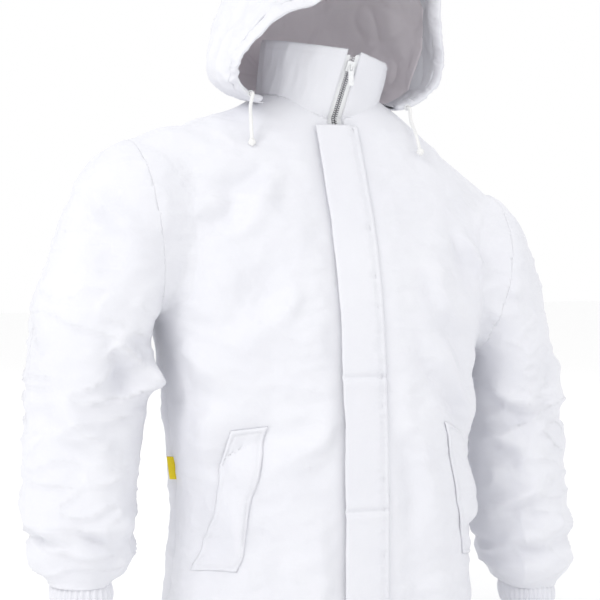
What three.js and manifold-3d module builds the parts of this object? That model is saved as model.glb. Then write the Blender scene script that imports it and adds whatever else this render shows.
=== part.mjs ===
// Hooded insulated work jacket, standing in the shape that it has when worn and closed.
//
// Units are millimetres, +Z is up, the front faces -Y and +X is the wearer's left.
// Built about the middle of the neck opening, level with the back neck seam, and then moved so
// that the origin is the middle of the hanger loop's lower edge, where a hook carries the jacket.
//
// The outer shell, its quilted lining and each sleeve are lofted through a few sections and then
// cut along the real seams: centre front, sides and shoulders, and armholes. The hood is a patch
// stretched over four control curves. Every piece is its own closed solid in its own named mesh.

import * as THREE from "three";
import Module from "manifold-3d";

const wasm = await Module();
wasm.setup();

// ---------------------------------------------------------------- driving dimensions

const GAP = 0.4; // left between pieces that touch
const FAR = 2000; // size of the blocks that stand for half-spaces

// cloth layers, measured inwards from the outer surface
const SHELL = 3;
const WADDING_GAP = 2.5;
const LINING = 5.5;
const LINING_OUT = SHELL + WADDING_GAP;
const LINING_IN = LINING_OUT + LINING;

// body
const BODY_LENGTH = 760;
const HEM_Z = -BODY_LENGTH;
const HEM_FACING = 42; // height of the turned-up hem
const SIDE_SEAM_Y = 0;
const FRONT_EDGE_X = 11; // each front stops this far from the centre line
const BODY_SQUARENESS = 2.35; // exponent of the superellipse sections

// neck and collar
const NECK_HALF_WIDTH = 84;
const NECK_FRONT = 68;
const NECK_BACK = 66;
const NECK_FRONT_Z = -36;
const COLLAR_WALL = 2.6;
const COLLAR_FRONT_HEIGHT = 86;
const COLLAR_BACK_HEIGHT = 74;
const COLLAR_SPACE = 2.2; // between the collar's two layers, for the zip tape
const COLLAR_LEAN = 30; // the front of the top edge stands this far forward of the neck seam
const COLLAR_SKEW = 16; // and this far towards the wearer's left

// shoulder and armhole
const BODY_HALF_WIDTH = 212; // at the waist, below the sleeves
const SHOULDER_X = BODY_HALF_WIDTH + 50;
const SHOULDER_Z = -90;
const ARMPIT_X = BODY_HALF_WIDTH + 20;
const ARMPIT_Z = -312;
const ARMHOLE_HALF_DEPTH = 98;
const SLEEVE_CLEARANCE = 8; // between sleeve and body below the armpit

// sleeve
const SLEEVE_DROP = 578; // from the shoulder point down to the cuff's edge
const ELBOW_HALF_DEPTH = 80;
const CUFF_BAND = 26;
const CUFF_HALF_WIDTH = 37;
const CUFF_HALF_DEPTH = 45;
const CUFF_SKIN = 1.8;
const ELASTIC_THICKNESS = 2;

// hood
const HOOD_HEIGHT = 236;
const HOOD_HALF_WIDTH = 160; // at the widest part of the opening
const HOOD_FALL = 80; // of the crown's front, towards the wearer's left
const HOOD_TURN = 6; // degrees about the neck, towards the wearer's left
const HOOD_SKIN = 2.6;
const HOOD_LINING = 2.2;
const HOOD_CENTRE_SHARE = 0.3; // of the arch, taken by the centre panel on each side
const CASING_DEPTH = 0.075; // of the hood's length, taken by the drawcord casing
const CASING_REACH = 0.975; // of the arch, on each side
const EYELET_AT = 0.93; // of the arch
const CORD_DIAMETER = 4.6;
const TAIL_LENGTH = 64;
const KNOT_RADIUS = 4.2;
const EYELET_HOLE = CORD_DIAMETER / 2 + 0.4;
const EYELET_OUTER = EYELET_HOLE + 1.9;
const EYELET_FLANGE = 1.2;
const EYELET_SEAT = 0.82; // of the casing's half width, from its middle to the eyelet

// zip
const CHAIN_SLIT = 0.7; // half the slit in which the slider's post runs
const CHAIN_HALF_WIDTH = 3.4;
const CHAIN_THICKNESS = 2.2;
const TAPE_THICKNESS = 1.2;
const TAPE_HALF_WIDTH = 20;
const ZIP_TOP_Z = NECK_FRONT_Z + COLLAR_FRONT_HEIGHT - 6;
const SLIDER_WIDTH = 11;
const SLIDER_LENGTH = 14;
const SLIDER_PLATE = 1.4;
const SLIDER_Z = ZIP_TOP_Z - SLIDER_LENGTH;
const BAIL_HEIGHT = 3.4;
const BAIL_BAR = 1.3;
const PULL_LENGTH = 24;
const PULL_WIDTH = 7;
const PULL_THICKNESS = 1.4;

// storm flap
const FLAP_FREE_X = -32;
const FLAP_SEWN_X = 30;
const FLAP_SKIN = 1.8;
const FLAP_FACING = 1.2;
const FLAP_STAND_OFF = 4.6; // from the front panel to the facing, room for the closed snaps
const FLAP_TOP_Z = -48;
const SNAP_X = -20;
const SNAP_LEVELS = [-112, -262, -412, -562, -705];
const SNAP_RADIUS = 5.4;
const STUD_BASE = 0.8;
const STUD_RADIUS = 1.6;
const SOCKET_HEIGHT = 1.9;
const SOCKET_RECESS = 2.9;

// pockets
const WELT_WIDTH = 46;
const WELT_LENGTH = 186;
const WELT_TOP_X = 142;
const WELT_TOP_Z = -432;
const WELT_SLANT = 41; // how far the bottom lies outboard of the top
const WELT_THICKNESS = 2.4;
const BAG_WIDTH = 120;
const BAG_LENGTH = 190;
const BAG_THICKNESS = 0.8;

// small pieces
const LOOP_SPAN = 62;
const LOOP_STAND_OFF = 9;
const LOOP_WIDTH = 6;
const LOOP_THICKNESS = 1.6;
const LABEL_WIDTH = 10;
const LABEL_LENGTH = 28;
const LABEL_THICKNESS = 0.9;
const LABEL_Z = -502;

// ---------------------------------------------------------------- materials

const cloth = (color, roughness) => new THREE.MeshStandardMaterial({ color, roughness, metalness: 0 });
const shellCloth = cloth(0xf4f4f7, 0.78);
const liningCloth = cloth(0xe4dcdf, 0.85);
const flapCloth = cloth(0xf7f7fa, 0.76);
const ribbon = cloth(0xf6f6f6, 0.7);
const cordCotton = cloth(0xf8f8f6, 0.9);
const elastic = cloth(0xececec, 0.9);
const labelYellow = cloth(0xf2dc1e, 0.6);
const zipTape = cloth(0xf2f3f4, 0.8);
const zipPlastic = new THREE.MeshStandardMaterial({ color: 0xf5f6f7, roughness: 0.4, metalness: 0 });
const whiteEnamel = new THREE.MeshStandardMaterial({ color: 0xe6e8ea, roughness: 0.35, metalness: 0.4 });
const studMetal = new THREE.MeshStandardMaterial({ color: 0xc9ccd0, roughness: 0.3, metalness: 1 });

// ---------------------------------------------------------------- curves and solids

// A smooth function through [at, value] pairs in rising order of at: a cubic whose slopes are
// those of the neighbours, so that a change to one pair stays local.
function through(pairs) {
  const slope = pairs.map((p, i) => {
    const a = pairs[Math.max(i - 1, 0)];
    const b = pairs[Math.min(i + 1, pairs.length - 1)];
    return (b[1] - a[1]) / (b[0] - a[0]);
  });
  return (at) => {
    const last = pairs.length - 2;
    let i = 0;
    while (i < last && at > pairs[i + 1][0]) i++;
    const span = pairs[i + 1][0] - pairs[i][0];
    const t = THREE.MathUtils.clamp((at - pairs[i][0]) / span, 0, 1);
    const rise = pairs[i + 1][1] - pairs[i][1];
    const a = slope[i] * span - rise;
    const b = rise - slope[i + 1] * span;
    return pairs[i][1] + rise * t + t * (1 - t) * (a * (1 - t) + b * t);
  };
}

// A solid from points and triangles that close on themselves, turned to face outwards.
function solidFrom(points, triangles) {
  const vertProperties = new Float32Array(points.flatMap((p) => [p.x, p.y, p.z]));
  const made = (faces) => {
    const triVerts = new Uint32Array(faces.flat());
    return new wasm.Manifold(new wasm.Mesh({ numProp: 3, vertProperties, triVerts }));
  };
  const solid = made(triangles);
  return solid.volume() > 0 ? solid : made(triangles.map(([a, b, c]) => [a, c, b]));
}

// A closed skin over rings of points, each end closed by a fan to the middle of its ring.
function loft(rings) {
  const n = rings[0].length;
  const points = rings.flat();
  const triangles = [];
  for (let r = 0; r + 1 < rings.length; r++) {
    for (let i = 0; i < n; i++) {
      const a = r * n + i;
      const b = r * n + ((i + 1) % n);
      triangles.push([a, b, b + n], [a, b + n, a + n]);
    }
  }
  for (const [first, turned] of [[0, true], [(rings.length - 1) * n, false]]) {
    const middle = points.length;
    const sum = new THREE.Vector3();
    for (let i = 0; i < n; i++) sum.add(points[first + i]);
    points.push(sum.divideScalar(n));
    for (let i = 0; i < n; i++) {
      const a = first + i;
      const b = first + ((i + 1) % n);
      triangles.push(turned ? [middle, b, a] : [middle, a, b]);
    }
  }
  return solidFrom(points, triangles);
}

// count + 1 numbers from first to last.
const steps = (first, last, count) =>
  Array.from({ length: count + 1 }, (_, i) => first + ((last - first) * i) / count);

// A sheet with a thickness: at(u, v, depth) is a point at that depth under the outer surface, and
// us and vs are the values of u and v at its rows and columns of points.
function thickSheet(at, us, vs, near, far) {
  const points = [];
  for (const depth of [near, far]) {
    for (const v of vs) {
      for (const u of us) points.push(at(u, v, depth));
    }
  }
  const row = us.length;
  const under = row * vs.length;
  const triangles = [];
  const quad = (a, b, c, d) => triangles.push([a, b, c], [a, c, d]);
  for (let v = 0; v + 1 < vs.length; v++) {
    for (let u = 0; u + 1 < row; u++) {
      const a = v * row + u;
      quad(a, a + 1, a + row + 1, a + row);
      quad(under + a, under + a + row, under + a + row + 1, under + a + 1);
    }
    const a = v * row;
    const b = a + row - 1;
    quad(a, a + row, under + a + row, under + a);
    quad(b + row, b, under + b, under + b + row);
  }
  for (let u = 0; u + 1 < row; u++) {
    const last = (vs.length - 1) * row + u;
    quad(u + 1, u, under + u, under + u + 1);
    quad(last, last + 1, under + last + 1, under + last);
  }
  return solidFrom(points, triangles);
}

// A three.js geometry as a solid, in the place that a matrix gives it.
function solidOf(geometry, matrix = new THREE.Matrix4()) {
  const flat = geometry.index ? geometry.toNonIndexed() : geometry.clone();
  flat.applyMatrix4(matrix);
  const raw = flat.getAttribute("position");
  const seen = new Map();
  const points = [];
  const index = [];
  for (let i = 0; i < raw.count; i++) {
    const p = new THREE.Vector3().fromBufferAttribute(raw, i);
    const key = p.toArray().map((x) => Math.round(x * 1e4)).join();
    if (!seen.has(key)) {
      seen.set(key, points.length);
      points.push(p);
    }
    index.push(seen.get(key));
  }
  const triangles = [];
  for (let i = 0; i < index.length; i += 3) {
    const [a, b, c] = index.slice(i, i + 3);
    if (a !== b && b !== c && a !== c) triangles.push([a, b, c]);
  }
  return solidFrom(points, triangles);
}

function block(x0, x1, y0, y1, z0, z1) {
  const box = new THREE.BoxGeometry(x1 - x0, y1 - y0, z1 - z0);
  return solidOf(box.translate((x0 + x1) / 2, (y0 + y1) / 2, (z0 + z1) / 2));
}

// The largest of a solid's separate bodies: a cut can leave a crumb of cloth behind.
function largest(solid) {
  return solid.decompose().reduce((a, b) => (b.volume() > a.volume() ? b : a));
}

// ---------------------------------------------------------------- the body's shape

const halfWidthAt = through([
  [HEM_Z, BODY_HALF_WIDTH + 2],
  [-450, BODY_HALF_WIDTH],
  [-360, BODY_HALF_WIDTH + 6],
  [ARMPIT_Z, ARMPIT_X - 4],
  [-200, SHOULDER_X - 10],
  [SHOULDER_Z - 40, SHOULDER_X - 2],
  [SHOULDER_Z, SHOULDER_X - 12],
  [-60, 0.62 * NECK_HALF_WIDTH + 0.55 * SHOULDER_X],
  [-30, 0.86 * NECK_HALF_WIDTH + 0.22 * SHOULDER_X],
  [-4, NECK_HALF_WIDTH],
]);
const frontAt = through([
  [HEM_Z, -168],
  [-500, -167],
  [ARMPIT_Z, -154],
  [-200, -132],
  [-110, -98],
  [NECK_FRONT_Z, -NECK_FRONT],
  [-4, 10 - NECK_FRONT],
]);
const backAt = through([
  [HEM_Z, 130],
  [-450, 120],
  [ARMPIT_Z, 128],
  [-170, 122],
  [SHOULDER_Z, 104],
  [-40, 84],
  [-4, NECK_BACK],
]);
const BODY_LEVELS = [-620, -480, -380, ARMPIT_Z, -250, -190, -135, SHOULDER_Z, -60, -30, -4];
const BODY_SIDES = 20;
const SLEEVE_SIDES = 14;

// How far a level sinks when the surface is taken inwards: fully on the shoulders, not below them.
const sinkShare = (z) => THREE.MathUtils.smoothstep(z, -190, SHOULDER_Z);

function bodyRing(z, depth) {
  const half = halfWidthAt(z) - depth;
  const ring = [];
  for (let i = 0; i < BODY_SIDES; i++) {
    const turn = (2 * Math.PI * i) / BODY_SIDES;
    const c = Math.cos(turn);
    const s = Math.sin(turn);
    const x = half * Math.sign(c) * Math.abs(c) ** (2 / BODY_SQUARENESS);
    const reach = s > 0 ? backAt(z) - depth : -frontAt(z) - depth;
    const y = reach * Math.sign(s) * Math.abs(s) ** (2 / BODY_SQUARENESS);
    ring.push(new THREE.Vector3(x, y, z - depth * sinkShare(z)));
  }
  return ring;
}

// The height of the front's outer facets at a place across and up: the body is lofted straight
// from one level to the next, so pieces that lie on it are placed on those facets.
function frontFacet(x, z) {
  const levels = [HEM_Z, ...BODY_LEVELS];
  const i = THREE.MathUtils.clamp(levels.findIndex((level) => level > z), 1, levels.length - 1);
  const share = (z - levels[i - 1]) / (levels[i] - levels[i - 1]);
  const low = bodyRing(levels[i - 1], 0);
  const high = bodyRing(levels[i], 0);
  const whole = low.map((p, k) => p.lerp(high[k], share));
  const ring = [...whole.slice(BODY_SIDES / 2), whole[0]];
  const k = THREE.MathUtils.clamp(ring.findIndex((p) => p.x > x), 1, ring.length - 1);
  const across = (x - ring[k - 1].x) / (ring[k].x - ring[k - 1].x);
  return THREE.MathUtils.lerp(ring[k - 1].y, ring[k].y, across);
}

// A point of the front's outer surface, raised by lift.
function frontSurface(x, z, lift = 0) {
  const step = 0.5;
  const acrossSlope = (frontFacet(x + step, z) - frontFacet(x - step, z)) / (2 * step);
  const upSlope = (frontFacet(x, z + step) - frontFacet(x, z - step)) / (2 * step);
  const out = new THREE.Vector3(acrossSlope, -1, upSlope).normalize();
  return new THREE.Vector3(x, frontFacet(x, z), z).addScaledVector(out, lift);
}

function bodySolid(depth, bottom) {
  return loft([bottom, ...BODY_LEVELS].map((z) => bodyRing(z, depth)));
}

// ---------------------------------------------------------------- the sleeve's shape

// Each section runs from an outer to an inner point, seen from the front, and has a half depth
// and a middle in the other direction. The first lies inside the body, the second is the armhole.
const innerX = BODY_HALF_WIDTH + SLEEVE_CLEARANCE + 18;
const cuffZ = SHOULDER_Z - SLEEVE_DROP;
const cuffMiddleX = SHOULDER_X + 71;
const SLEEVE_SECTIONS = [
  { outer: [SHOULDER_X - 92, SHOULDER_Z + 4], inner: [ARMPIT_X - 72, ARMPIT_Z + 26], half: 84, y: -4 },
  { outer: [SHOULDER_X, SHOULDER_Z], inner: [ARMPIT_X, ARMPIT_Z], half: ARMHOLE_HALF_DEPTH, y: -4 },
  { outer: [SHOULDER_X + 36, -108], inner: [ARMPIT_X + 3, ARMPIT_Z - 13], half: 98, y: -4 },
  { outer: [SHOULDER_X + 66, -146], inner: [ARMPIT_X + 4, ARMPIT_Z - 26], half: 96, y: -3 },
  { outer: [SHOULDER_X + 90, -204], inner: [innerX, ARMPIT_Z - 42], half: 93, y: -2 },
  { outer: [SHOULDER_X + 108, -275], inner: [innerX, ARMPIT_Z - 66], half: 89, y: -1 },
  { outer: [SHOULDER_X + 126, -355], inner: [innerX + 1, -416], half: 85, y: -2 },
  { outer: [SHOULDER_X + 137, -445], inner: [innerX + 3, -470], half: ELBOW_HALF_DEPTH, y: -6 },
  { outer: [SHOULDER_X + 140, -525], inner: [innerX + 7, -535], half: 77, y: -16 },
  { outer: [SHOULDER_X + 136, -582], inner: [innerX + 16, -590], half: 71, y: -26 },
  { outer: [SHOULDER_X + 124, cuffZ + 46], inner: [innerX + 36, cuffZ + 38], half: 60, y: -33 },
  {
    outer: [cuffMiddleX + CUFF_HALF_WIDTH, cuffZ + CUFF_BAND],
    inner: [cuffMiddleX - CUFF_HALF_WIDTH, cuffZ + CUFF_BAND - 4],
    half: CUFF_HALF_DEPTH,
    y: -36,
  },
  {
    outer: [cuffMiddleX + CUFF_HALF_WIDTH, cuffZ],
    inner: [cuffMiddleX - CUFF_HALF_WIDTH, cuffZ - 4],
    half: CUFF_HALF_DEPTH,
    y: -38,
  },
];
const CUFF_SECTION = SLEEVE_SECTIONS.length - 2;

function sleeveRing(section, depth, side, drop = 0) {
  const outer = new THREE.Vector3(side * section.outer[0], section.y, section.outer[1] - drop);
  const inner = new THREE.Vector3(side * section.inner[0], section.y, section.inner[1] - drop);
  const middle = outer.clone().add(inner).multiplyScalar(0.5);
  const reach = outer.clone().sub(middle);
  reach.setLength(reach.length() - depth);
  const ring = [];
  for (let i = 0; i < SLEEVE_SIDES; i++) {
    const turn = (2 * Math.PI * i) / SLEEVE_SIDES;
    const point = middle.clone().addScaledVector(reach, Math.cos(turn));
    point.y += (section.half - depth) * Math.sin(turn);
    ring.push(point);
  }
  return ring;
}

// The sleeve's solid down to its cuff band, or past it where it is only a cutter.
function sleeveSolid(depth, side, isCutter) {
  const rings = SLEEVE_SECTIONS.slice(0, CUFF_SECTION + 1).map((s) => sleeveRing(s, depth, side));
  if (isCutter) rings.push(sleeveRing(SLEEVE_SECTIONS[CUFF_SECTION], depth, side, 8));
  return loft(rings);
}

// The side of the armhole on which a sleeve lies: everything outboard of a line from above the
// shoulder, through the shoulder and the armpit, and down between sleeve and body.
function sleeveRegion(side, gap) {
  const between = BODY_HALF_WIDTH + SLEEVE_CLEARANCE + 6;
  const line = [
    [SHOULDER_X, SHOULDER_Z + 200],
    [SHOULDER_X, SHOULDER_Z],
    [ARMPIT_X, ARMPIT_Z],
    [between, ARMPIT_Z - 60],
    [between, HEM_Z - 100],
  ];
  const outline = new THREE.Shape();
  outline.moveTo(FAR, SHOULDER_Z + 200);
  for (const [x, z] of line) outline.lineTo(x + gap, z);
  outline.lineTo(FAR, HEM_Z - 100);
  const prism = new THREE.ExtrudeGeometry(outline, { depth: FAR, bevelEnabled: false });
  const stand = new THREE.Matrix4().makeRotationX(Math.PI / 2);
  const mirror = new THREE.Matrix4().makeScale(side, 1, 1);
  const place = new THREE.Matrix4().makeTranslation(0, FAR / 2, 0);
  return solidOf(prism, mirror.multiply(place).multiply(stand));
}

// ---------------------------------------------------------------- the collar's shape

const collarTop = (turn) => {
  const back = (1 + Math.sin(turn)) / 2;
  return THREE.MathUtils.lerp(NECK_FRONT_Z + COLLAR_FRONT_HEIGHT, COLLAR_BACK_HEIGHT, back);
};
const COLLAR_FOOT = NECK_FRONT_Z - 30;
const LINING_FACE = COLLAR_WALL + COLLAR_SPACE; // depth of the collar's inner layer
const COLLAR_INSIDE = LINING_FACE + COLLAR_WALL;

// A point of the collar at a height: turn goes round the neck, from the wearer's left.
function collarAt(turn, z, depth) {
  const reach = Math.sin(turn) > 0 ? NECK_BACK : NECK_FRONT;
  const risen = Math.max(z - NECK_FRONT_Z, 0) / COLLAR_FRONT_HEIGHT;
  const front = (1 - Math.sin(turn)) / 2;
  const x = (NECK_HALF_WIDTH - depth) * Math.cos(turn) + COLLAR_SKEW * risen * front;
  return new THREE.Vector3(x, (reach - depth) * Math.sin(turn) - COLLAR_LEAN * risen * front, z);
}

// The turn at which the collar's outer face stands at x, in front.
const turnAt = (x) => Math.asin(x / NECK_HALF_WIDTH) - Math.PI / 2;
const COLLAR_FLAT_X = TAPE_HALF_WIDTH + 2; // the front is flat as far as the zip tape goes
const COLLAR_TURNS = [
  turnAt(FRONT_EDGE_X),
  ...steps(turnAt(COLLAR_FLAT_X), Math.PI - turnAt(COLLAR_FLAT_X), 20),
  Math.PI - turnAt(FRONT_EDGE_X),
];

// The solid that the neck's outline sweeps from inside the body up past the collar.
function neckPlug(depth) {
  const levels = [-160, NECK_FRONT_Z, 60];
  return loft(levels.map((z) => COLLAR_TURNS.map((turn) => collarAt(turn, z, depth))));
}

// ---------------------------------------------------------------- shell and lining, whole

// The jacket as if it were solid, taken inwards by depth; a cutter runs out past hem and cuffs.
function wholeJacket(depth, isCutter) {
  return bodySolid(depth, isCutter ? HEM_Z - 10 : HEM_Z)
    .add(sleeveSolid(depth, 1, isCutter))
    .add(sleeveSolid(depth, -1, isCutter));
}

const underShell = wholeJacket(SHELL, true);
const onJacket = wholeJacket(-GAP, true);
const behindShell = wholeJacket(SHELL + GAP, true);
const onLining = wholeJacket(LINING_OUT - GAP, true);
const shell = wholeJacket(0, false).subtract(underShell).subtract(neckPlug(-3 * GAP));
const lining = wholeJacket(LINING_OUT, false)
  .subtract(wholeJacket(LINING_IN, true))
  .subtract(neckPlug(COLLAR_INSIDE + 1));

// ---------------------------------------------------------------- the exported group

const jacket = new THREE.Group();

function addPiece(name, solid, material) {
  const mesh = solid.getMesh();
  const xyz = new Float32Array(mesh.numVert * 3);
  for (let i = 0; i < mesh.numVert; i++) {
    xyz.set(mesh.vertProperties.subarray(i * mesh.numProp, i * mesh.numProp + 3), 3 * i);
  }
  const geometry = new THREE.BufferGeometry();
  geometry.setAttribute("position", new THREE.BufferAttribute(xyz, 3));
  geometry.setIndex(new THREE.BufferAttribute(new Uint32Array(mesh.triVerts), 1));
  geometry.computeVertexNormals();
  const piece = new THREE.Mesh(geometry, material);
  piece.name = name;
  jacket.add(piece);
}

const SIDES = [
  ["right", -1],
  ["left", 1],
];
const ahead = block(-FAR, FAR, -FAR, SIDE_SEAM_Y - GAP / 2, -FAR, FAR);
const behind = block(-FAR, FAR, SIDE_SEAM_Y + GAP / 2, FAR, -FAR, FAR);

// ---------------------------------------------------------------- pockets

// A point on the line down the middle of a pocket's welt, at a distance across it.
function pocketPoint(side, across, along, lift) {
  const x = WELT_TOP_X + WELT_SLANT * along + across;
  const z = WELT_TOP_Z - Math.sqrt(WELT_LENGTH ** 2 - WELT_SLANT ** 2) * along + 0.3 * across;
  return frontSurface(side * x, z, lift);
}

function pocketSheet(side, acrossFrom, acrossTo, alongFrom, alongTo, high, low) {
  const at = (across, along, depth) => pocketPoint(side, across, along, -depth);
  return thickSheet(at, steps(acrossFrom, acrossTo, 6), steps(alongFrom, alongTo, 6), -high, -low);
}

// The pocket's mouth in the shell, under the middle of the welt.
const pocketSlit = (side) => pocketSheet(side, -2, 2, 0.1, 0.9, 2, -SHELL - 1);

function addPockets() {
  const half = WELT_WIDTH / 2;
  const bagTop = -SHELL - (WADDING_GAP - BAG_THICKNESS) / 2;
  for (const [name, side] of SIDES) {
    const welt = pocketSheet(side, -half, half, 0, 1, GAP + WELT_THICKNESS, 0);
    addPiece(`pocket_welt_${name}`, largest(welt.subtract(onJacket)), shellCloth);
    const bag = pocketSheet(side, -BAG_WIDTH, 8, 0, BAG_LENGTH / WELT_LENGTH, bagTop, bagTop - BAG_THICKNESS);
    addPiece(`pocket_bag_${name}`, bag.intersect(behindShell).subtract(onLining), liningCloth);
  }
}

// ---------------------------------------------------------------- body panels

function addBodyPanels() {
  const sleeves = sleeveRegion(1, -GAP / 2).add(sleeveRegion(-1, -GAP / 2));
  const bodyShell = shell.subtract(sleeves);
  const bodyLining = lining.subtract(sleeves);
  const aboveHem = block(-FAR, FAR, -FAR, FAR, HEM_Z + HEM_FACING + 2, FAR);
  addPiece("back_panel", largest(bodyShell.intersect(behind)), shellCloth);
  addPiece("back_lining", largest(bodyLining.intersect(behind).intersect(aboveHem)), liningCloth);
  for (const [name, side] of SIDES) {
    const edges = [side * FRONT_EDGE_X, side * FAR].sort((a, b) => a - b);
    const half = ahead.intersect(block(...edges, -FAR, FAR, -FAR, FAR));
    const panel = bodyShell.intersect(half).subtract(pocketSlit(side));
    addPiece(`front_panel_${name}`, largest(panel), shellCloth);
    const front = bodyLining.intersect(half).intersect(aboveHem);
    addPiece(`front_lining_${name}`, largest(front), liningCloth);
  }
}

// The turned-up hem: a low wall inside the shell, open at the centre front.
function addHemFacing() {
  const thickness = 2;
  const outer = SHELL + 2 * GAP;
  const wall = loft([bodyRing(HEM_Z + 1, outer), bodyRing(HEM_Z + HEM_FACING, outer)]);
  const inner = outer + thickness;
  const inside = loft([bodyRing(HEM_Z - 9, inner), bodyRing(HEM_Z + HEM_FACING + 10, inner)]);
  const opening = block(-TAPE_HALF_WIDTH - 3, TAPE_HALF_WIDTH + 3, -FAR, 0, -FAR, FAR);
  addPiece("hem_facing", wall.subtract(inside).subtract(opening), shellCloth);
}

// A flat tab caught in the side seam, standing straight out.
function addSideLabel() {
  const root = halfWidthAt(LABEL_Z) + GAP;
  const half = LABEL_THICKNESS / 2;
  const bottom = LABEL_Z - LABEL_LENGTH / 2;
  const tab = block(-root - LABEL_WIDTH, -root, -half, half, bottom, bottom + LABEL_LENGTH);
  addPiece("side_label", tab, labelYellow);
}

// ---------------------------------------------------------------- sleeves

// A band round the sleeve's end between two depths, from one drop below its last seam to another.
function cuffBand(outerDepth, innerDepth, top, bottom, side) {
  const section = SLEEVE_SECTIONS[CUFF_SECTION];
  const at = (depth, drop) => sleeveRing(section, depth, side, drop);
  const outer = loft([at(outerDepth, top), at(outerDepth, bottom)]);
  return outer.subtract(loft([at(innerDepth, top - 5), at(innerDepth, bottom + 5)]));
}

function addSleeves() {
  for (const [name, side] of SIDES) {
    const region = sleeveRegion(side, GAP / 2);
    const sleeve = shell.intersect(region);
    addPiece(`sleeve_front_${name}`, largest(sleeve.intersect(ahead)), shellCloth);
    addPiece(`sleeve_back_${name}`, largest(sleeve.intersect(behind)), shellCloth);
    addPiece(`sleeve_lining_${name}`, largest(lining.intersect(region)), liningCloth);

    // the casing is folded over the elastic: two skins joined at the bottom
    const depth = 2 * CUFF_SKIN + ELASTIC_THICKNESS + 2 * GAP;
    const band = cuffBand(0, depth, GAP, CUFF_BAND, side);
    const tunnel = cuffBand(CUFF_SKIN, depth - CUFF_SKIN, -5, CUFF_BAND - CUFF_SKIN, side);
    addPiece(`cuff_casing_${name}`, band.subtract(tunnel), shellCloth);
    const from = CUFF_SKIN + GAP;
    const strip = cuffBand(from, from + ELASTIC_THICKNESS, 1, CUFF_BAND - CUFF_SKIN - GAP, side);
    addPiece(`cuff_elastic_${name}`, strip, elastic);
  }
}

// ---------------------------------------------------------------- collar

function addCollar() {
  const at = (turn, row, depth) => {
    const foot = [COLLAR_FOOT, NECK_FRONT_Z][Math.min(row, 1)];
    return collarAt(turn, THREE.MathUtils.lerp(foot, collarTop(turn), Math.max(row - 1, 0) / 3), depth);
  };
  const wall = (depth) => thickSheet(at, COLLAR_TURNS, [0, 1, 2, 3, 4], depth, depth + COLLAR_WALL);
  addPiece("collar_outer", largest(wall(0).subtract(underShell)), shellCloth);
  addPiece("collar_lining", largest(wall(LINING_FACE).subtract(onLining)), liningCloth);
}

const LOOP_FOOT_Z = 12;

// A strap sewn at both ends inside the back of the collar and standing off between them.
function addHangerLoop() {
  const at = (u, v, depth) => {
    const turn = Math.acos(((u - 0.5) * LOOP_SPAN) / (NECK_HALF_WIDTH - COLLAR_INSIDE));
    const point = collarAt(turn, LOOP_FOOT_Z + LOOP_WIDTH * v, COLLAR_INSIDE + 1);
    const away = LOOP_STAND_OFF * THREE.MathUtils.smoothstep(0.5 - Math.abs(u - 0.5), 0.04, 0.26);
    point.y -= away + depth;
    return point;
  };
  addPiece("hanger_loop", thickSheet(at, steps(0, 1, 14), [0, 1], 0, LOOP_THICKNESS), ribbon);
}

// ---------------------------------------------------------------- zip

// A point of the zip's surface: behind the front panels up to the neck, then inside the collar,
// where the zip is flat between the front edges.
function zipPoint(x, z, depth) {
  const middle = (COLLAR_WALL + LINING_FACE) / 2;
  const side = Math.sign(x) || 1;
  const edge = collarAt(turnAt(side * FRONT_EDGE_X), z, middle + depth);
  const beyond = collarAt(turnAt(side * COLLAR_FLAT_X), z, middle + depth);
  const share = (Math.abs(x) - FRONT_EDGE_X) / (COLLAR_FLAT_X - FRONT_EDGE_X);
  const onCollar = edge.clone().lerp(beyond, Math.max(share, 0));
  onCollar.x = x + collarAt(-Math.PI / 2, z, 0).x;
  const onFront = frontSurface(x, z, -middle - depth);
  return onFront.lerp(onCollar, THREE.MathUtils.smoothstep(z, NECK_FRONT_Z - 14, NECK_FRONT_Z));
}

const ZIP_LEVELS = [
  HEM_Z + 6,
  ...BODY_LEVELS.filter((z) => z < NECK_FRONT_Z - 14),
  NECK_FRONT_Z - 14,
  NECK_FRONT_Z - 7,
  NECK_FRONT_Z,
  ZIP_TOP_Z,
];

function zipStrip(side, from, to, thickness, levels) {
  const xs = [from, FRONT_EDGE_X, to].filter((x) => x === from || x <= to).map((x) => side * x);
  return thickSheet(zipPoint, [...new Set(xs)].sort((a, b) => a - b), levels, -thickness / 2, thickness / 2);
}

// The frame of the slider: its second axis points out of the collar and its third up the zip.
const zipUp = zipPoint(0, ZIP_TOP_Z, 0).sub(zipPoint(0, NECK_FRONT_Z, 0)).normalize();
const zipOut = new THREE.Vector3(1, 0, 0).cross(zipUp).normalize();
const zipAcross = zipOut.clone().cross(zipUp);
const atSlider = new THREE.Matrix4()
  .makeBasis(zipAcross, zipOut, zipUp)
  .setPosition(zipPoint(0, SLIDER_Z, 0));

function sliderBlock(x0, x1, y0, y1, z0, z1) {
  const box = new THREE.BoxGeometry(x1 - x0, y1 - y0, z1 - z0);
  return solidOf(box.translate((x0 + x1) / 2, (y0 + y1) / 2, (z0 + z1) / 2), atSlider);
}

const PLATE_Y = CHAIN_THICKNESS / 2 + 0.4; // from the zip's middle plane to a slider plate
const BAIL_FOOT_Y = PLATE_Y + SLIDER_PLATE;
const BAIL_HALF = 3.2; // half the bail's length along the zip

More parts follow.
